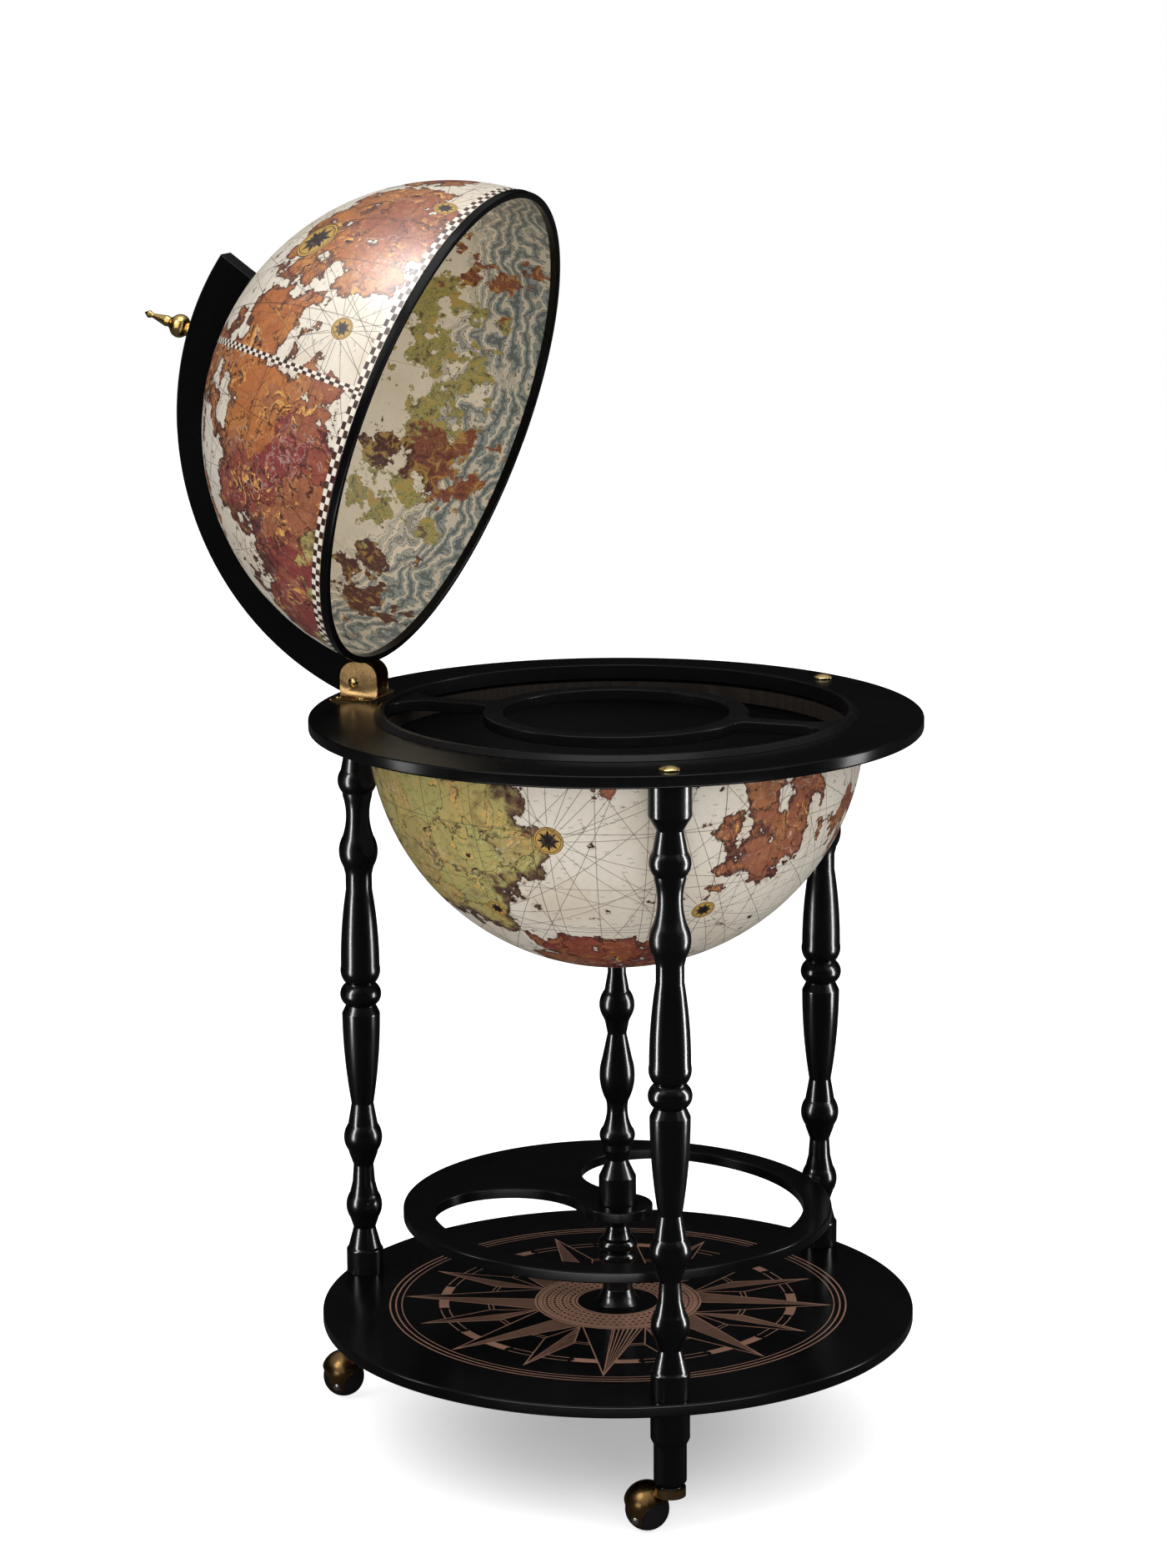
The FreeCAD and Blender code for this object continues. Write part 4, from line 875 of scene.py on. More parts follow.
@dataclass(frozen=True)
class Paint:
    """Recipe of a black finish."""

    colour: Colour
    gloss: float
    spread: float
    relief: float
    grain: tuple[float, float, float] = (1.0, 1.0, 1.0)


@dataclass(frozen=True)
class Plate:
    """Recipe of a metal finish."""

    clean: Colour
    dark: Colour
    amount: float
    gloss: float


BOARD_PAINT = Paint(BLACK, 0.17, 0.07, 0.15)
TURNED_PAINT = Paint(BLACK, 0.17, 0.10, 0.8, grain=(1.0, 1.0, 0.06))
MOULDED_PLASTIC = Paint((0.006, 0.006, 0.0065), 0.2, 0.14, 1.2)
SHELF_PAINT = Paint((0.012, 0.012, 0.012), 0.5, 0.15, 3.0)
WHEEL_PLASTIC = Paint((0.009, 0.009, 0.01), 0.22, 0.2, 2.0)
# Inside of the bowl: one near-black tone all over.
BOWL_INSIDE_DARK = Paint((0.010, 0.010, 0.011), 0.4, 0.2, 2.0)
AGED_BRASS = Plate((0.34, 0.205, 0.078), (0.09, 0.045, 0.016), 0.5, 0.22)
BRIGHT_BRASS = Plate((0.88, 0.64, 0.28), (0.40, 0.25, 0.09), 0.3, 0.16)
POLISHED_GOLD = Plate((0.90, 0.62, 0.22), (0.55, 0.30, 0.08), 0.3, 0.14)
BRIGHT_STEEL = Plate((0.62, 0.62, 0.64), (0.30, 0.29, 0.28), 0.4, 0.25)


class Finishes:
    """Every material of the cabinet, each made once."""

    def __init__(self, globe: "Globe") -> None:
        """Make them all.

        Args:
            globe: gives the centres that the print is drawn about.
        """
        self.effects = Effects()
        self.board = self._painted("black_lacquer_board", BOARD_PAINT)
        self.turned = self._painted("black_lacquer_turned", TURNED_PAINT)
        self.plastic = self._painted("black_plastic_moulded", MOULDED_PLASTIC)
        self.shelf = self._painted("shelf_black_board", SHELF_PAINT)
        self.wheel = self._painted("wheel_black_plastic", WHEEL_PLASTIC)
        self.bowl_inside_dark = self._painted("bowl_inside_black", BOWL_INSIDE_DARK)
        self.inlay = self._painted("black_lacquer_inlay", BOARD_PAINT, inlaid=True)
        self.brass = self._metal("aged_brass", AGED_BRASS)
        self.cap = self._metal("bright_brass", BRIGHT_BRASS)
        self.gold = self._metal("polished_gold", POLISHED_GOLD)
        self.steel = self._metal("bright_steel", BRIGHT_STEEL)
        self.wood = self._stained_wood()
        bowl, lid = Vector((0, 0, globe.bowl_centre)), globe.lid.centre
        opened = globe.lid.open_angle
        self.bowl_map = self._varnished("bowl_map_print", self.effects.chart, bowl, 0.0)
        self.lid_map = self._varnished("lid_map_print", self.effects.chart, lid, opened)
        self.lid_lining = self._varnished("lid_lining_print", self.effects.lining, lid, opened)

    def _painted(self, name: str, paint: Paint, inlaid: bool = False) -> Material:
        """Black paint or plastic with uneven gloss, faint grain and rubbed edges.

        Args:
            name: the material's name.
            paint: its recipe.
            inlaid: True to print the copper rose on it.
        """
        material, n, shader = new_material(name)
        skin = n.group(self.effects.skin, Grain=paint.grain, Gloss=paint.gloss,
                       Spread=paint.spread, Relief=paint.relief)
        wear = n.group(self.effects.wear, Amount=0.3)["Mask"]
        worn = tuple(0.012 + 2 * c for c in paint.colour)
        tone = n.layers(paint.colour, (skin["Haze"] * 0.1, DUST), (wear, worn))
        rough, height = skin["Roughness"] + wear * 0.15, skin["Height"]
        if inlaid:
            copper, shine = self._copper(n)
            tone = n.mix(copper, tone, shine)
            rough, height = skin["Roughness"] + copper * 0.16, height + copper * 0.5
            n.put(shader["Metallic"], copper * 0.2)
        n.fill(shader, Base_Color=tone, Roughness=rough, Specular_IOR_Level=GLOSS_LEVEL,
               Normal=n.bump(height, 0.12, 0.0004))
        return material

    def _copper(self, n: Nodes) -> tuple[Signal, Signal]:
        """Mask and colour of the compass rose on the tray's top."""
        place = n.read("TexCoord", "Object")
        rose = n.group(self.effects.rose, Millimetres=n.vector("SCALE", place, 1000.0))["Copper"]
        _, _, up = n.split(n.read("NewGeometry", "Normal"))
        _, _, high = n.split(place)
        rub = n.fade(n.noise(place, 22.0, 5.0, 0.65), 0.35, 0.6)
        mask = (rose * (n.fade(up, 0.9, 0.97) * n.fade(high, ROSE_LOW, ROSE_HIGH))
                * n.span(rub, 0.0, 1.0, 0.75, 1.0))
        flakes = n.noise(place, 1300.0, 3.0, 0.7)
        return mask, n.mix(flakes * 0.6, COPPER, COPPER_DARK)

    def _metal(self, name: str, plate: Plate) -> Material:
        """Plated metal with tarnish, scratches and bright edges."""
        material, n, shader = new_material(name)
        metal = n.group(self.effects.tarnish, Clean=plate.clean, Dark=plate.dark,
                        Amount=plate.amount, Gloss=plate.gloss)
        wear = n.group(self.effects.wear, Amount=0.7)["Mask"]
        bright = tuple(min(1.0, 1.35 * c + 0.03) for c in plate.clean)
        n.fill(shader, Base_Color=n.mix(wear, metal["Color"], bright), Metallic=1.0,
               Roughness=metal["Roughness"], Normal=n.bump(metal["Height"], 0.1, 0.0003))
        return material

    def _stained_wood(self) -> Material:
        """Black-stained softwood with growth lines."""
        material, n, shader = new_material("stained_wood")
        place = n.read("TexCoord", "Object")
        sway = n.vector("SCALE", n.noise(place, 7.0, 3.0, output="Color"), 0.02)
        rings = n.add("TexWave", wave_type="BANDS", bands_direction="Y", wave_profile="SAW")
        n.fill(rings.inputs, Vector=n.vector("ADD", place, sway), Scale=55.0, Distortion=1.5)
        fibres = n.noise(n.vector("MULTIPLY", place, (40.0, 900.0, 900.0)), 1.0, 3.0, 0.6)
        tone = n.mix(n.outputs(rings)["Fac"], (0.030, 0.022, 0.016), (0.012, 0.009, 0.007))
        n.fill(shader, Base_Color=n.mix(fibres * 0.4, tone, (0.05, 0.038, 0.028)),
               Roughness=n.span(fibres, 0.0, 1.0, 0.5, 0.75), Normal=n.bump(fibres, 0.25, 0.0003))
        return material

    def _varnished(self, name: str, print_tree: Tree, centre: Vector,
                   swing: float) -> Material:
        """Printed paper gores under varnish, drawn about a sphere's centre.

        Args:
            name: the material's name.
            print_tree: group that draws the print from a direction.
            centre: the sphere's centre.
            swing: degrees that the piece has been swung open.
        """
        material, n, shader = new_material(name)
        turn = n.add("Mapping", vector_type="TEXTURE")
        n.fill(turn.inputs, Vector=n.read("TexCoord", "Object"), Location=centre,
               Rotation=(0.0, -math.radians(swing), 0.0))
        ahead = n.vector("NORMALIZE", n.outputs(turn)["Vector"])
        ink = n.group(print_tree, Direction=ahead)["Color"]
        x, y, z = n.split(ahead)
        gore = abs(n.sine(n.sum("ARCTAN2", y, x) * 6.0)) * n.sum("SQRT", 1.0 - z * z)
        seam = n.fade(gore, 0.014, 0.006)
        mottle = n.noise(ahead, 34.0, 5.0, 0.7)
        smears = n.noise(ahead, 3.0, 5.0, 0.6, 0.5)
        grain = n.noise(ahead, 420.0, 3.0, 0.6)
        tone = n.layers(ink, (n.fade(mottle, 0.5, 0.75) * 0.22, CREAM_STAIN),
                        (seam * 0.3, LAND_DEEP))
        n.fill(shader, Base_Color=tone,
               Roughness=n.span(smears, 0.3, 0.7, 0.4, 0.52), Coat_Weight=0.25,
               Coat_Roughness=0.28, Normal=n.bump(mottle * 0.5 + grain - seam * 0.8, 0.08, 0.0005))
        return material


# ---------------------------------------------------------------- sub-assemblies
@dataclass
class Stand:
    """Tray, ring, legs, feet, column and bottle rail."""

    tray_radius: float = 0.244
    tray_top: float = 0.113
    board: float = 0.010
    ring_radius: float = 0.247
    ring_opening: float = 0.1905
    ring_top: float = RING_TOP
    leg_circle: float = 0.2275
    leg_radius: float = 0.0172
    foot_bottom: float = 0.0426
    foot_radius: float = 0.0155
    column_base_radius: float = 0.0194
    column_radius: float = 0.0164
    column_top: float = 0.405
    rail_radius: float = 0.1765
    rail_top: float = 0.198
    rail_thickness: float = 0.009
    rail_slot_radius: float = 0.153
    rail_hub_radius: float = 0.029
    rail_slot_end: float = 62.3
    rail_turn: float = 152.0
    rod_bore: float = ROD_BORE
    board_edge: float = 0.0016
    slot_steps: int = 120
    hub_steps: int = 60
    end_steps: int = 28

    def spot(self, side: Side) -> Matrix:
        """Where a leg's axis stands."""
        angle = math.radians(side.value)
        return Matrix.Translation((self.leg_circle * math.cos(angle),
                                   self.leg_circle * math.sin(angle), 0))

    def board_ring(self, inner: float, outer: float, top: float) -> Mesh:
        """Round board with a bore."""
        low = top - self.board
        return lathe([(inner, low), (outer, low), (outer, top), (inner, top)], closed=True,
                     rounding=self.board_edge, segments=ROUND_STEPS)

    def rail_loops(self) -> list[list[Point]]:
        """Outer circle, bore and round-ended slot of the bottle rail."""
        outer, inner, end = self.rail_slot_radius, self.rail_hub_radius, self.rail_slot_end
        mid, half = (outer + inner) / 2, (outer - inner) / 2
        a = math.radians(end)
        near, far = ((mid * math.cos(a), side * mid * math.sin(a)) for side in (-1, 1))
        slot = circle_points(outer, end, 360 - end, self.slot_steps)
        slot += circle_points(half, -end, 180 - end, self.end_steps, near)[1:]
        slot += circle_points(inner, 360 - end, end, self.hub_steps)[1:]
        slot += circle_points(half, end + 180, end + 360, self.end_steps, far)[1:-1]
        turn = Matrix.Rotation(math.radians(self.rail_turn), 2)
        slot = [tuple(turn @ Vector(p)) for p in slot]
        return [full_circle(self.rail_radius), full_circle(self.rod_bore, BORE_STEPS), slot]

    def build(self, looks: Finishes) -> None:
        """Make every board and turning of the stand."""
        tray_under, ring_under = self.tray_top - self.board, self.ring_top - self.board
        for name, node, look, *sizes in (
                ("tray_board", "base_tray", looks.inlay, self.rod_bore, self.tray_radius,
                 self.tray_top),
                ("ring_board", "horizon_ring", looks.board, self.ring_opening, self.ring_radius,
                 self.ring_top)):
            finish_piece(name, self.board_ring(*sizes), "stand", [look], [node])
        leg = turned_points(LEG_SHARES, self.tray_top, ring_under - self.tray_top, self.leg_radius)
        foot = turned_points(FOOT_SHARES, self.foot_bottom, tray_under - self.foot_bottom,
                             self.foot_radius)
        for side in Side:
            for word, points in (("leg", leg), ("foot", foot)):
                solid = [(0.0, points[0][1])] + points + [(0.0, points[-1][1])]
                finish_piece(f"{word}_{side.word}_turning", lathe(solid), "stand",
                             [looks.turned], [f"{word}_{side.word}"], self.spot(side))
        rail_under = self.rail_top - self.rail_thickness
        for word, shares, low, high, radius in (
                ("lower", COLUMN_LOW_SHARES, self.tray_top, rail_under, self.column_base_radius),
                ("upper", COLUMN_HIGH_SHARES, self.rail_top, self.column_top, self.column_radius)):
            points = turned_points(shares, low, high - low, radius)
            solid = [(self.rod_bore, low)] + points + [(self.rod_bore, high)]
            finish_piece(f"column_{word}_turning", lathe(solid, closed=True), "stand",
                         [looks.turned], [f"column_{word}"])
        finish_piece("rail_board", slab(self.rail_loops(), rail_under, self.rail_top), "stand",
                     [looks.board], ["bottle_rail"])
        for node in ("leg_studs", "tie_rod", "rod_nut_lower", "rod_nut_upper"):
            dress_node(node, looks.steel)


@dataclass
class Lid:
    """Where the open lid's pieces stand."""

    pin: Point = (-0.224, 0.623)
    open_angle: float = 72.0
    shut_centre: float = 0.607

    @property
    def opened(self) -> Matrix:
        """Swings a piece that is drawn shut to where it stands open."""
        turn = Matrix.Rotation(math.radians(-self.open_angle), 4, "Y")
        pin = Vector((self.pin[0], 0, self.pin[1]))
        return Matrix.Translation(pin) @ turn @ Matrix.Translation(-pin)

    @property
    def centre(self) -> Vector:
        """Centre of the open lid's sphere."""
        return self.opened @ Vector((0, 0, self.shut_centre))


@dataclass
class Globe:
    """Bowl, glass holder, shelf and lid."""

    radius: float = 0.200
    wall: float = 0.004
    bowl_centre: float = 0.605
    ring_top: float = RING_TOP
    ring_under: float = RING_UNDER
    rod_bore: float = ROD_BORE
    holder_out: float = 0.1902
    holder_wall: float = 0.004
    lip_reach: float = 0.0048
    lip_height: float = 0.0045
    lip_flat: float = 0.003
    lip_edge: float = 0.0012
    web_top: float = 0.6115
    web_thickness: float = 0.009
    well_radius: float = 0.091
    hub_radius: float = 0.107
    arm_half: float = 0.0085
    flare: float = 0.026
    root: float = 0.012
    rim_low: float = 0.6103
    rim_high: float = 0.6173
    rim_overhang: float = 0.0008
    rim_inset: float = 0.001
    finial_bore: float = 0.00315
    shell_edge: float = 0.0004
    holder_edge: float = 0.0008
    rim_edge: float = 0.001
    web_edge: float = 0.0012
    shell_steps: int = 64
    shell_least: float = 30.0
    well_steps: int = 96
    wall_steps: int = 90
    hub_steps: int = 60
    flare_steps: int = 16
    root_steps: int = 10
    lid: Lid = field(default_factory=Lid)

    def shell(self, centre: float, edge: float, bore: float, up: bool) -> Mesh:
        """Half globe from its rim to the small bore at its pole.

        Args:
            centre: height of the sphere's centre.
            edge: height of the rim.
            bore: radius of the hole at the pole.
            up: True for the lid, False for the bowl.
        """
        sign = 1 if up else -1
        walls = []
        for radius in (self.radius, self.radius - self.wall):
            start = math.degrees(math.asin((edge - centre) / radius))
            stop = sign * math.degrees(math.acos(bore / radius))
            walls.append(circle_points(radius, start, stop, self.shell_steps, (0.0, centre)))
        return lathe(walls[0] + walls[1][::-1], closed=True, rounding=self.shell_edge,
                     segments=ROUND_STEPS, least=self.shell_least)

    def opening(self) -> list[Point]:
        """One glass opening of the holder, with flared arms."""
        inner, arm, flare, root = (self.holder_out - self.holder_wall, self.arm_half, self.flare,
                                   self.root)
        flare_x = math.sqrt((inner - flare) ** 2 - (arm + flare) ** 2)
        root_x = math.sqrt((self.hub_radius + root) ** 2 - (arm + root) ** 2)
        wall_turn = math.degrees(math.atan2(arm + flare, flare_x))
        hub_turn = math.degrees(math.atan2(arm + root, root_x))
        wide, tight = self.flare_steps, self.root_steps
        points = circle_points(inner, wall_turn, 180 - wall_turn, self.wall_steps)
        points += circle_points(flare, 180 - wall_turn, 270, wide, (-flare_x, arm + flare))[1:]
        points += circle_points(root, 270, 360 - hub_turn, tight, (-root_x, arm + root))
        points += circle_points(self.hub_radius, 180 - hub_turn, hub_turn, self.hub_steps)[1:-1]
        points += circle_points(root, 180 + hub_turn, 270, tight, (root_x, arm + root))
        points += circle_points(flare, 270, 360 + wall_turn, wide, (flare_x, arm + flare))[:-1]
        return points

    def holder(self) -> Mesh:
        """Lipped wall of the glass holder and its web."""
        inner, under = self.holder_out - self.holder_wall, self.web_top - self.web_thickness
        top = self.ring_top + self.lip_height
        wall = lathe([
            (inner, under), (self.holder_out, under), (self.holder_out, self.ring_top),
            (self.holder_out + self.lip_reach, self.ring_top),
            (inner + self.lip_edge + self.lip_flat, top), (inner, top)],
            closed=True, rounding=self.holder_edge, segments=ROUND_STEPS)
        near = self.opening()
        far = [(-x, -y) for x, y in near]
        rim = full_circle(inner + self.holder_wall / 2)
        well = full_circle(self.well_radius, self.well_steps)
        web = slab([rim, well, near, far], under, self.web_top, rounding=self.web_edge)
        return merged([wall, web])

    def lid_rim(self) -> Mesh:
        """Black band round the lid's edge."""
        inner, outer = self.radius - self.wall - self.rim_inset, self.radius + self.rim_overhang
        return lathe([(inner, self.rim_low), (outer, self.rim_low), (outer, self.rim_high),
                      (inner, self.rim_high)], closed=True, rounding=self.rim_edge,
                     segments=ROUND_STEPS)

    def build(self, looks: Finishes) -> None:
        """Make the globe's shells and what stands in them."""
        def inside(centre: Vector) -> Callable[[Vector], int]:
            """Picks the second material, the lid's lining or the bowl's dark inside, for faces on
            the inner side of the wall.
            """
            limit = self.radius - self.wall / 2
            return lambda point: int((point - centre).length < limit)

        bowl = self.shell(self.bowl_centre, self.ring_under, self.rod_bore, False)
        finish_piece("bowl_shell", bowl, "stand", [looks.bowl_map, looks.bowl_inside_dark],
                     ["lower_hemisphere"], pick=inside(Vector((0, 0, self.bowl_centre))))
        lid = self.shell(self.lid.shut_centre, self.rim_high, self.finial_bore, True)
        finish_piece("lid_shell", lid, "lid", [looks.lid_map, looks.lid_lining],
                     ["upper_hemisphere"], self.lid.opened, pick=inside(self.lid.centre))
        finish_piece("lid_band", self.lid_rim(), "lid", [looks.board], ["lid_rim"],
                     self.lid.opened)
        finish_piece("holder_insert", self.holder(), "stand", [looks.plastic],
                     ["glass_holder"])
        dress_node("bowl_shelf", looks.shelf)
        dress_node("bowl_collar", looks.wood)
        dress_node("bowl_screws", looks.steel)


@dataclass
class Arm:
    """Meridian arc, its bush, wedge and finial."""

    inner: float = 0.2045
    width: float = 0.0325
    half: float = 0.010
    centre: float = 0.610
    overrun: float = 17.3
    knuckle: float = 0.0112
    heel: float = 0.006
    finial_height: float = 0.045
    finial_radius: float = 0.0093
    finial_stud: float = 0.003
    stud_end: float = 0.79
    pin_bore: float = 0.0031
    edge: float = 0.0009
    finial_edge: float = 0.0003
    finial_steps: int = 64
    arc_steps: int = 110
    knuckle_steps: int = 14
    lid: Lid = field(default_factory=Lid)

    def arc(self) -> Mesh:
        """Curved arm from the hinge knuckle over and past the pole, drawn shut."""
        px, pz = self.lid.pin
        outer = self.inner + self.width
        turn = math.radians(self.lid.open_angle)
        start = math.degrees(math.atan2(pz - self.centre,
                                        -math.sqrt(self.inner ** 2 - (pz - self.centre) ** 2)))
        foot = (px - self.knuckle * math.sin(turn), pz - self.knuckle * math.cos(turn))
        heel = (foot[0] - self.heel * math.cos(turn), foot[1] + self.heel * math.sin(turn))
        heel_turn = math.degrees(math.atan2(heel[1] - self.centre, heel[0]))
        end = 90 - self.overrun
        middle = (0.0, self.centre)
        points = circle_points(self.inner, end, start, self.arc_steps, middle)
        points += circle_points(self.knuckle, -60, -90 - self.lid.open_angle, self.knuckle_steps,
                                self.lid.pin)
        points.append(heel)
        points += circle_points(outer, heel_turn % 360, end, self.arc_steps, middle)
        flat = slab([points, full_circle(self.pin_bore, BORE_STEPS, self.lid.pin)],
                    -self.half, self.half, rounding=self.edge)
        bmesh.ops.transform(flat, matrix=Matrix.Rotation(math.pi / 2, 4, "X"), verts=flat.verts[:])
        return flat

    def build(self, looks: Finishes) -> None:
        """Make the arm and what is fixed to it."""
        opened = self.lid.opened
        finish_piece("arc_arm", self.arc(), "lid", [looks.board], ["meridian_arc"],
                     opened)
        top = self.centre + self.inner + self.width
        points = turned_points(FINIAL_SHARES, top, self.finial_height, self.finial_radius)
        solid = [(0.0, self.stud_end), (self.finial_stud, self.stud_end),
                 (self.finial_stud, top)] + points
        finish_piece("finial_turning", lathe(solid, rounding=self.finial_edge,
                                             segments=self.finial_steps),
                     "lid", [looks.gold], ["finial"], opened)
        for node, material in (("pole_bush", looks.plastic), ("arc_wedge", looks.plastic),
                               ("wedge_screw", looks.steel), ("finial_nut", looks.steel)):
            dress_node(node, material)


@dataclass
class Hinge:
    """Brass bracket, its pin and screws, and the caps of the leg bolts."""

    def build(self, looks: Finishes) -> None:
        """Make the brass fittings on the ring."""
        for node, name, metal in (("hinge_bracket", "hinge_plate_bracket", looks.brass),
                                  ("hinge_pin", "hinge_pin_rivet", looks.cap),
                                  ("hinge_screws", "hinge_wood_screws", looks.cap),
                                  ("leg_bolt_left", "leg_bolt_left_head", looks.brass),
                                  ("leg_bolt_front", "leg_bolt_front_cap", looks.cap),
                                  ("leg_bolt_right", "leg_bolt_right_cap", looks.cap)):
            finish_piece(name, refined(node), "stand", [metal], [node])


@dataclass
class Caster:
    """One hooded ball caster."""

    side: Side

    def build(self, looks: Finishes) -> None:
        """Make the caster's pieces."""
        word = self.side.word
        for node, name, body, slot, look in (
                ("hood", "housing", "caster", Slot.BRASS, looks.brass),
                ("wheel", "ball", "wheel", Slot.WHEEL, looks.wheel),
                ("stem", "spindle", "caster", Slot.PLASTIC, looks.plastic),
                ("axle", "rivet", "caster", Slot.STEEL, looks.steel)):
            packed = f"caster_{word}_{node}"
            finish_piece(f"caster_{word}_{name}", refined(packed), f"{body}_{word}", [look],
                         [packed])
        dress_node(f"caster_{word}_socket", looks.steel)


# ---------------------------------------------------------------- studio
@dataclass(frozen=True)
class SoftBox:
    """Rectangular lamp that faces the column's axis, in degrees, metres and watts.

    Its azimuth runs from the camera's side, plus to the right, its reach is how far it
    stands from its aim, and its aim is a height on the axis. One that doesn't shine lights
    the paint and shows in no gloss.
    """

    name: str
    azimuth: float
    elevation: float
    reach: float
    width: float
    height: float
    power: float
    aim: float = 0.5
    shines: bool = True


LIGHT_BOXES = (
    SoftBox("key_box", -50, 42, 3.0, 1.2, 1.6, 17),
    SoftBox("fill_box", 55, 30, 3.2, 1.0, 1.6, 9),
    SoftBox("top_box", 10, 82, 2.4, 1.6, 1.6, 18),
    SoftBox("front_box", 4, 8, 3.0, 1.6, 1.2, 24, shines=False),
)
# Boxes that light no paint and show only in the gloss of pieces with the finishes named.
SHEEN_BOXES = (
    (("turned",), (SoftBox("left_strip", -66, 0, 1.1, 0.16, 1.2, 55, 0.61),
                   SoftBox("right_strip", 84, 0, 1.1, 0.20, 1.2, 60, 0.61))),
    (("board", "plastic", "inlay"), (SoftBox("left_panel", -80, 2, 2.3, 0.40, 1.9, 24),
                                     SoftBox("right_panel", 94, 2, 2.3, 0.45, 1.9, 36),
                                     SoftBox("low_panel", 0, 0, 0.8, 1.8, 0.25, 16, 0.13))),
    (("cap", "gold"), (SoftBox("cap_panel", -35, 25, 2.0, 2.0, 2.0, 14),)),
    (("brass", "steel"), (SoftBox("metal_panel", -25, 25, 2.0, 2.0, 2.0, 4),
                          SoftBox("bracket_panel", -40, 0, 2.0, 0.8, 0.4, 1.3, 0.27))),
    (("lid_map",), (SoftBox("lid_glare", -70, 72, 2.3, 0.8, 0.8, 50),)),
)


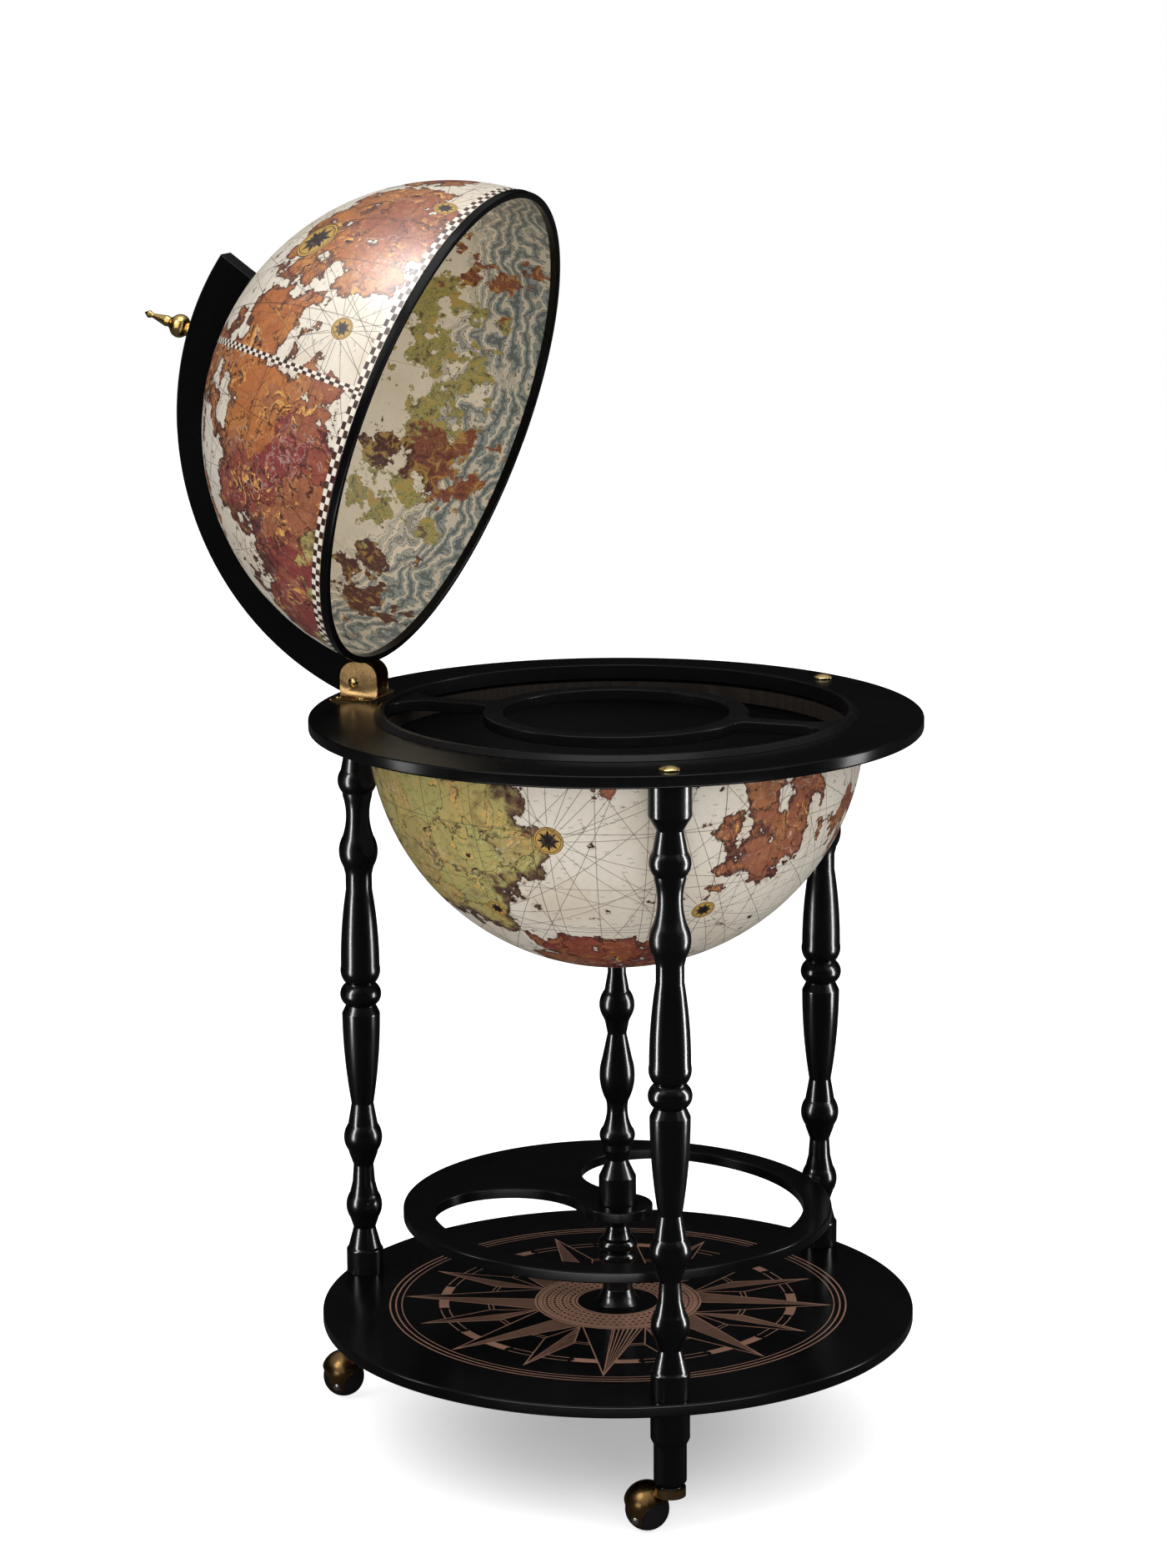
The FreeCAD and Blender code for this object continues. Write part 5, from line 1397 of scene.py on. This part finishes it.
@dataclass
class Studio:
    """Camera, lamps, world and floor."""

    focal_px: float = 4837.7
    frame_px: float = 1881.0
    middle_px: Point = (700.0, 940.5)
    principal_px: Point = (701.04, 942.02)
    distance: float = 3.1792
    height: float = 1.236
    pitch: float = 12.171
    yaw: float = -0.463
    roll: float = 0.2775
    azimuth: float = 19.79
    sensor: float = 36.0
    far: float = 50.0
    ambient: float = 0.5
    gloss_low: float = 0.01
    gloss_high: float = 0.5
    floor_half: float = 6.0
    floor_tone: float = 0.8
    floor_gloss_tone: float = 0.06
    # Painted shade round the column: the floor's emission is this low near it and rises to full
    # white between the two shade radii.
    emission_in_painted_shade: float = 0.33
    shade_inner: float = 0.04
    shade_outer: float = 0.36

    def camera(self) -> None:
        """Camera at the photograph's place."""
        pitch, yaw, roll = map(math.radians, (self.pitch, self.yaw, self.roll))
        ahead = Vector((math.sin(yaw) * math.cos(pitch), math.cos(yaw) * math.cos(pitch),
                        -math.sin(pitch)))
        right = Vector((math.cos(yaw), -math.sin(yaw), 0))
        down = ahead.cross(right)
        level = right * math.cos(roll) + down * math.sin(roll)
        down = down * math.cos(roll) - right * math.sin(roll)
        axes = Matrix((level, -down, -ahead)).transposed().to_4x4()
        turn = Matrix.Rotation(math.radians(self.azimuth), 4, "Z")
        data = bpy.data.cameras.new("photo_camera")
        data.sensor_width = self.sensor
        data.lens = self.focal_px / self.frame_px * self.sensor
        data.shift_x = (self.middle_px[0] - self.principal_px[0]) / self.frame_px
        data.shift_y = (self.principal_px[1] - self.middle_px[1]) / self.frame_px
        data.clip_end = self.far
        camera = bpy.data.objects.new("photo_camera", data)
        camera.matrix_world = turn @ Matrix.Translation((0, -self.distance, self.height)) @ axes
        bpy.context.scene.collection.objects.link(camera)
        bpy.context.scene.camera = camera

    def lamp(self, box: SoftBox, only: Optional[bpy.types.Collection] = None) -> None:
        """Set up a soft box.

        Args:
            box: its place, size and power.
            only: pieces whose gloss it shows in, if it isn't to light everything.
        """
        turn, lift = math.radians(box.azimuth + self.azimuth), math.radians(box.elevation)
        back = Vector((math.sin(turn) * math.cos(lift), -math.cos(turn) * math.cos(lift),
                       math.sin(lift)))
        data = bpy.data.lights.new(box.name, "AREA")
        data.shape, data.size, data.size_y = "RECTANGLE", box.width, box.height
        data.energy = box.power
        lamp = bpy.data.objects.new(box.name, data)
        lamp.visible_camera, lamp.visible_diffuse = False, only is None
        lamp.visible_glossy = box.shines
        lamp.light_linking.receiver_collection = only
        lamp.location = Vector((0, 0, box.aim)) + back * box.reach
        lamp.rotation_mode = "QUATERNION"
        lamp.rotation_quaternion = back.to_track_quat("Z", "Y")
        bpy.context.scene.collection.objects.link(lamp)

    def lamps(self, looks: Finishes) -> None:
        """Set up the boxes that light everything, and those for some finishes' gloss."""
        for box in LIGHT_BOXES:
            self.lamp(box)
        pieces = [p for p in bpy.context.scene.objects if p.type == "MESH"]
        for words, boxes in SHEEN_BOXES:
            finishes = [getattr(looks, word) for word in words]
            shown = bpy.data.collections.new(boxes[0].name + "_pieces")
            for piece in pieces:
                if any(material in finishes for material in piece.data.materials[:]):
                    shown.objects.link(piece)
            for box in boxes:
                self.lamp(box, shown)

    def backdrop(self, n: Nodes, dimmed: Value) -> Signal:
        """White to the camera and through glass, and dimmed in gloss.

        Args:
            n: tree that it is laid out in.
            dimmed: strength that glossy rays see.
        """
        return n.most(n.read("LightPath", "Is Camera Ray"),
                      n.read("LightPath", "Is Transmission Ray"),
                      n.read("LightPath", "Is Glossy Ray") * dimmed)

    def world(self) -> None:
        """White backdrop, with a soft grey light on the object."""
        world = bpy.data.worlds.new("studio_world")
        bpy.context.scene.world = world
        world.use_nodes = True
        n = Nodes(world.node_tree)
        _, _, up = n.split(n.read("TexCoord", "Generated"))
        dimmed = n.fade(up, 0.3, 0.95) * (self.gloss_high - self.gloss_low) + self.gloss_low
        diffuse = n.read("LightPath", "Is Diffuse Ray") * self.ambient
        n.fill(world.node_tree.nodes["Background"].inputs, Color=WHITE,
               Strength=n.most(self.backdrop(n, dimmed), diffuse))

    def floor(self) -> None:
        """Pale floor that keeps the object's shadow, with painted shade round the column: its
        emission is lower there.
        """
        bm = bmesh.new()
        bmesh.ops.create_grid(bm, x_segments=1, y_segments=1, size=self.floor_half)
        mesh = bpy.data.meshes.new("floor")
        bm.to_mesh(mesh)
        bm.free()
        material, n, shader = new_material("floor_white")
        x, y, _ = n.split(n.read("TexCoord", "Object"))
        away = n.sum("SQRT", x * x + y * y)
        # Painted shade: emission is lower near the column, on top of the real shadow that the floor
        # keeps.
        painted_shade_ramp = n.fade(away, self.shade_inner, self.shade_outer) * (1.0 - self.emission_in_painted_shade)
        n.fill(shader, Base_Color=n.mix(n.read("LightPath", "Is Glossy Ray"),
                                        (self.floor_tone,) * 3, (self.floor_gloss_tone,) * 3),
               Specular_IOR_Level=0.0, Emission_Color=WHITE,
               Emission_Strength=self.backdrop(n, self.gloss_low) * (painted_shade_ramp + self.emission_in_painted_shade))
        mesh.materials.append(material)
        floor = bpy.data.objects.new("floor", mesh)
        bpy.context.scene.collection.objects.link(floor)

    def build(self, looks: Finishes) -> None:
        """Set up the whole studio, after the pieces that some lamps are linked to."""
        bpy.context.scene.view_settings.view_transform = "Standard"
        self.camera()
        self.world()
        self.floor()
        self.lamps(looks)


def main() -> None:
    """Build the studio and every sub-assembly."""
    logging.basicConfig(level=logging.INFO, format="%(name)s %(message)s")
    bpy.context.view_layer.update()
    globe = Globe()
    looks = Finishes(globe)
    Stand().build(looks)
    globe.build(looks)
    Arm().build(looks)
    Hinge().build(looks)
    for side in Side:
        Caster(side).build(looks)
    Studio().build(looks)


if __name__ == "__main__":
    main()
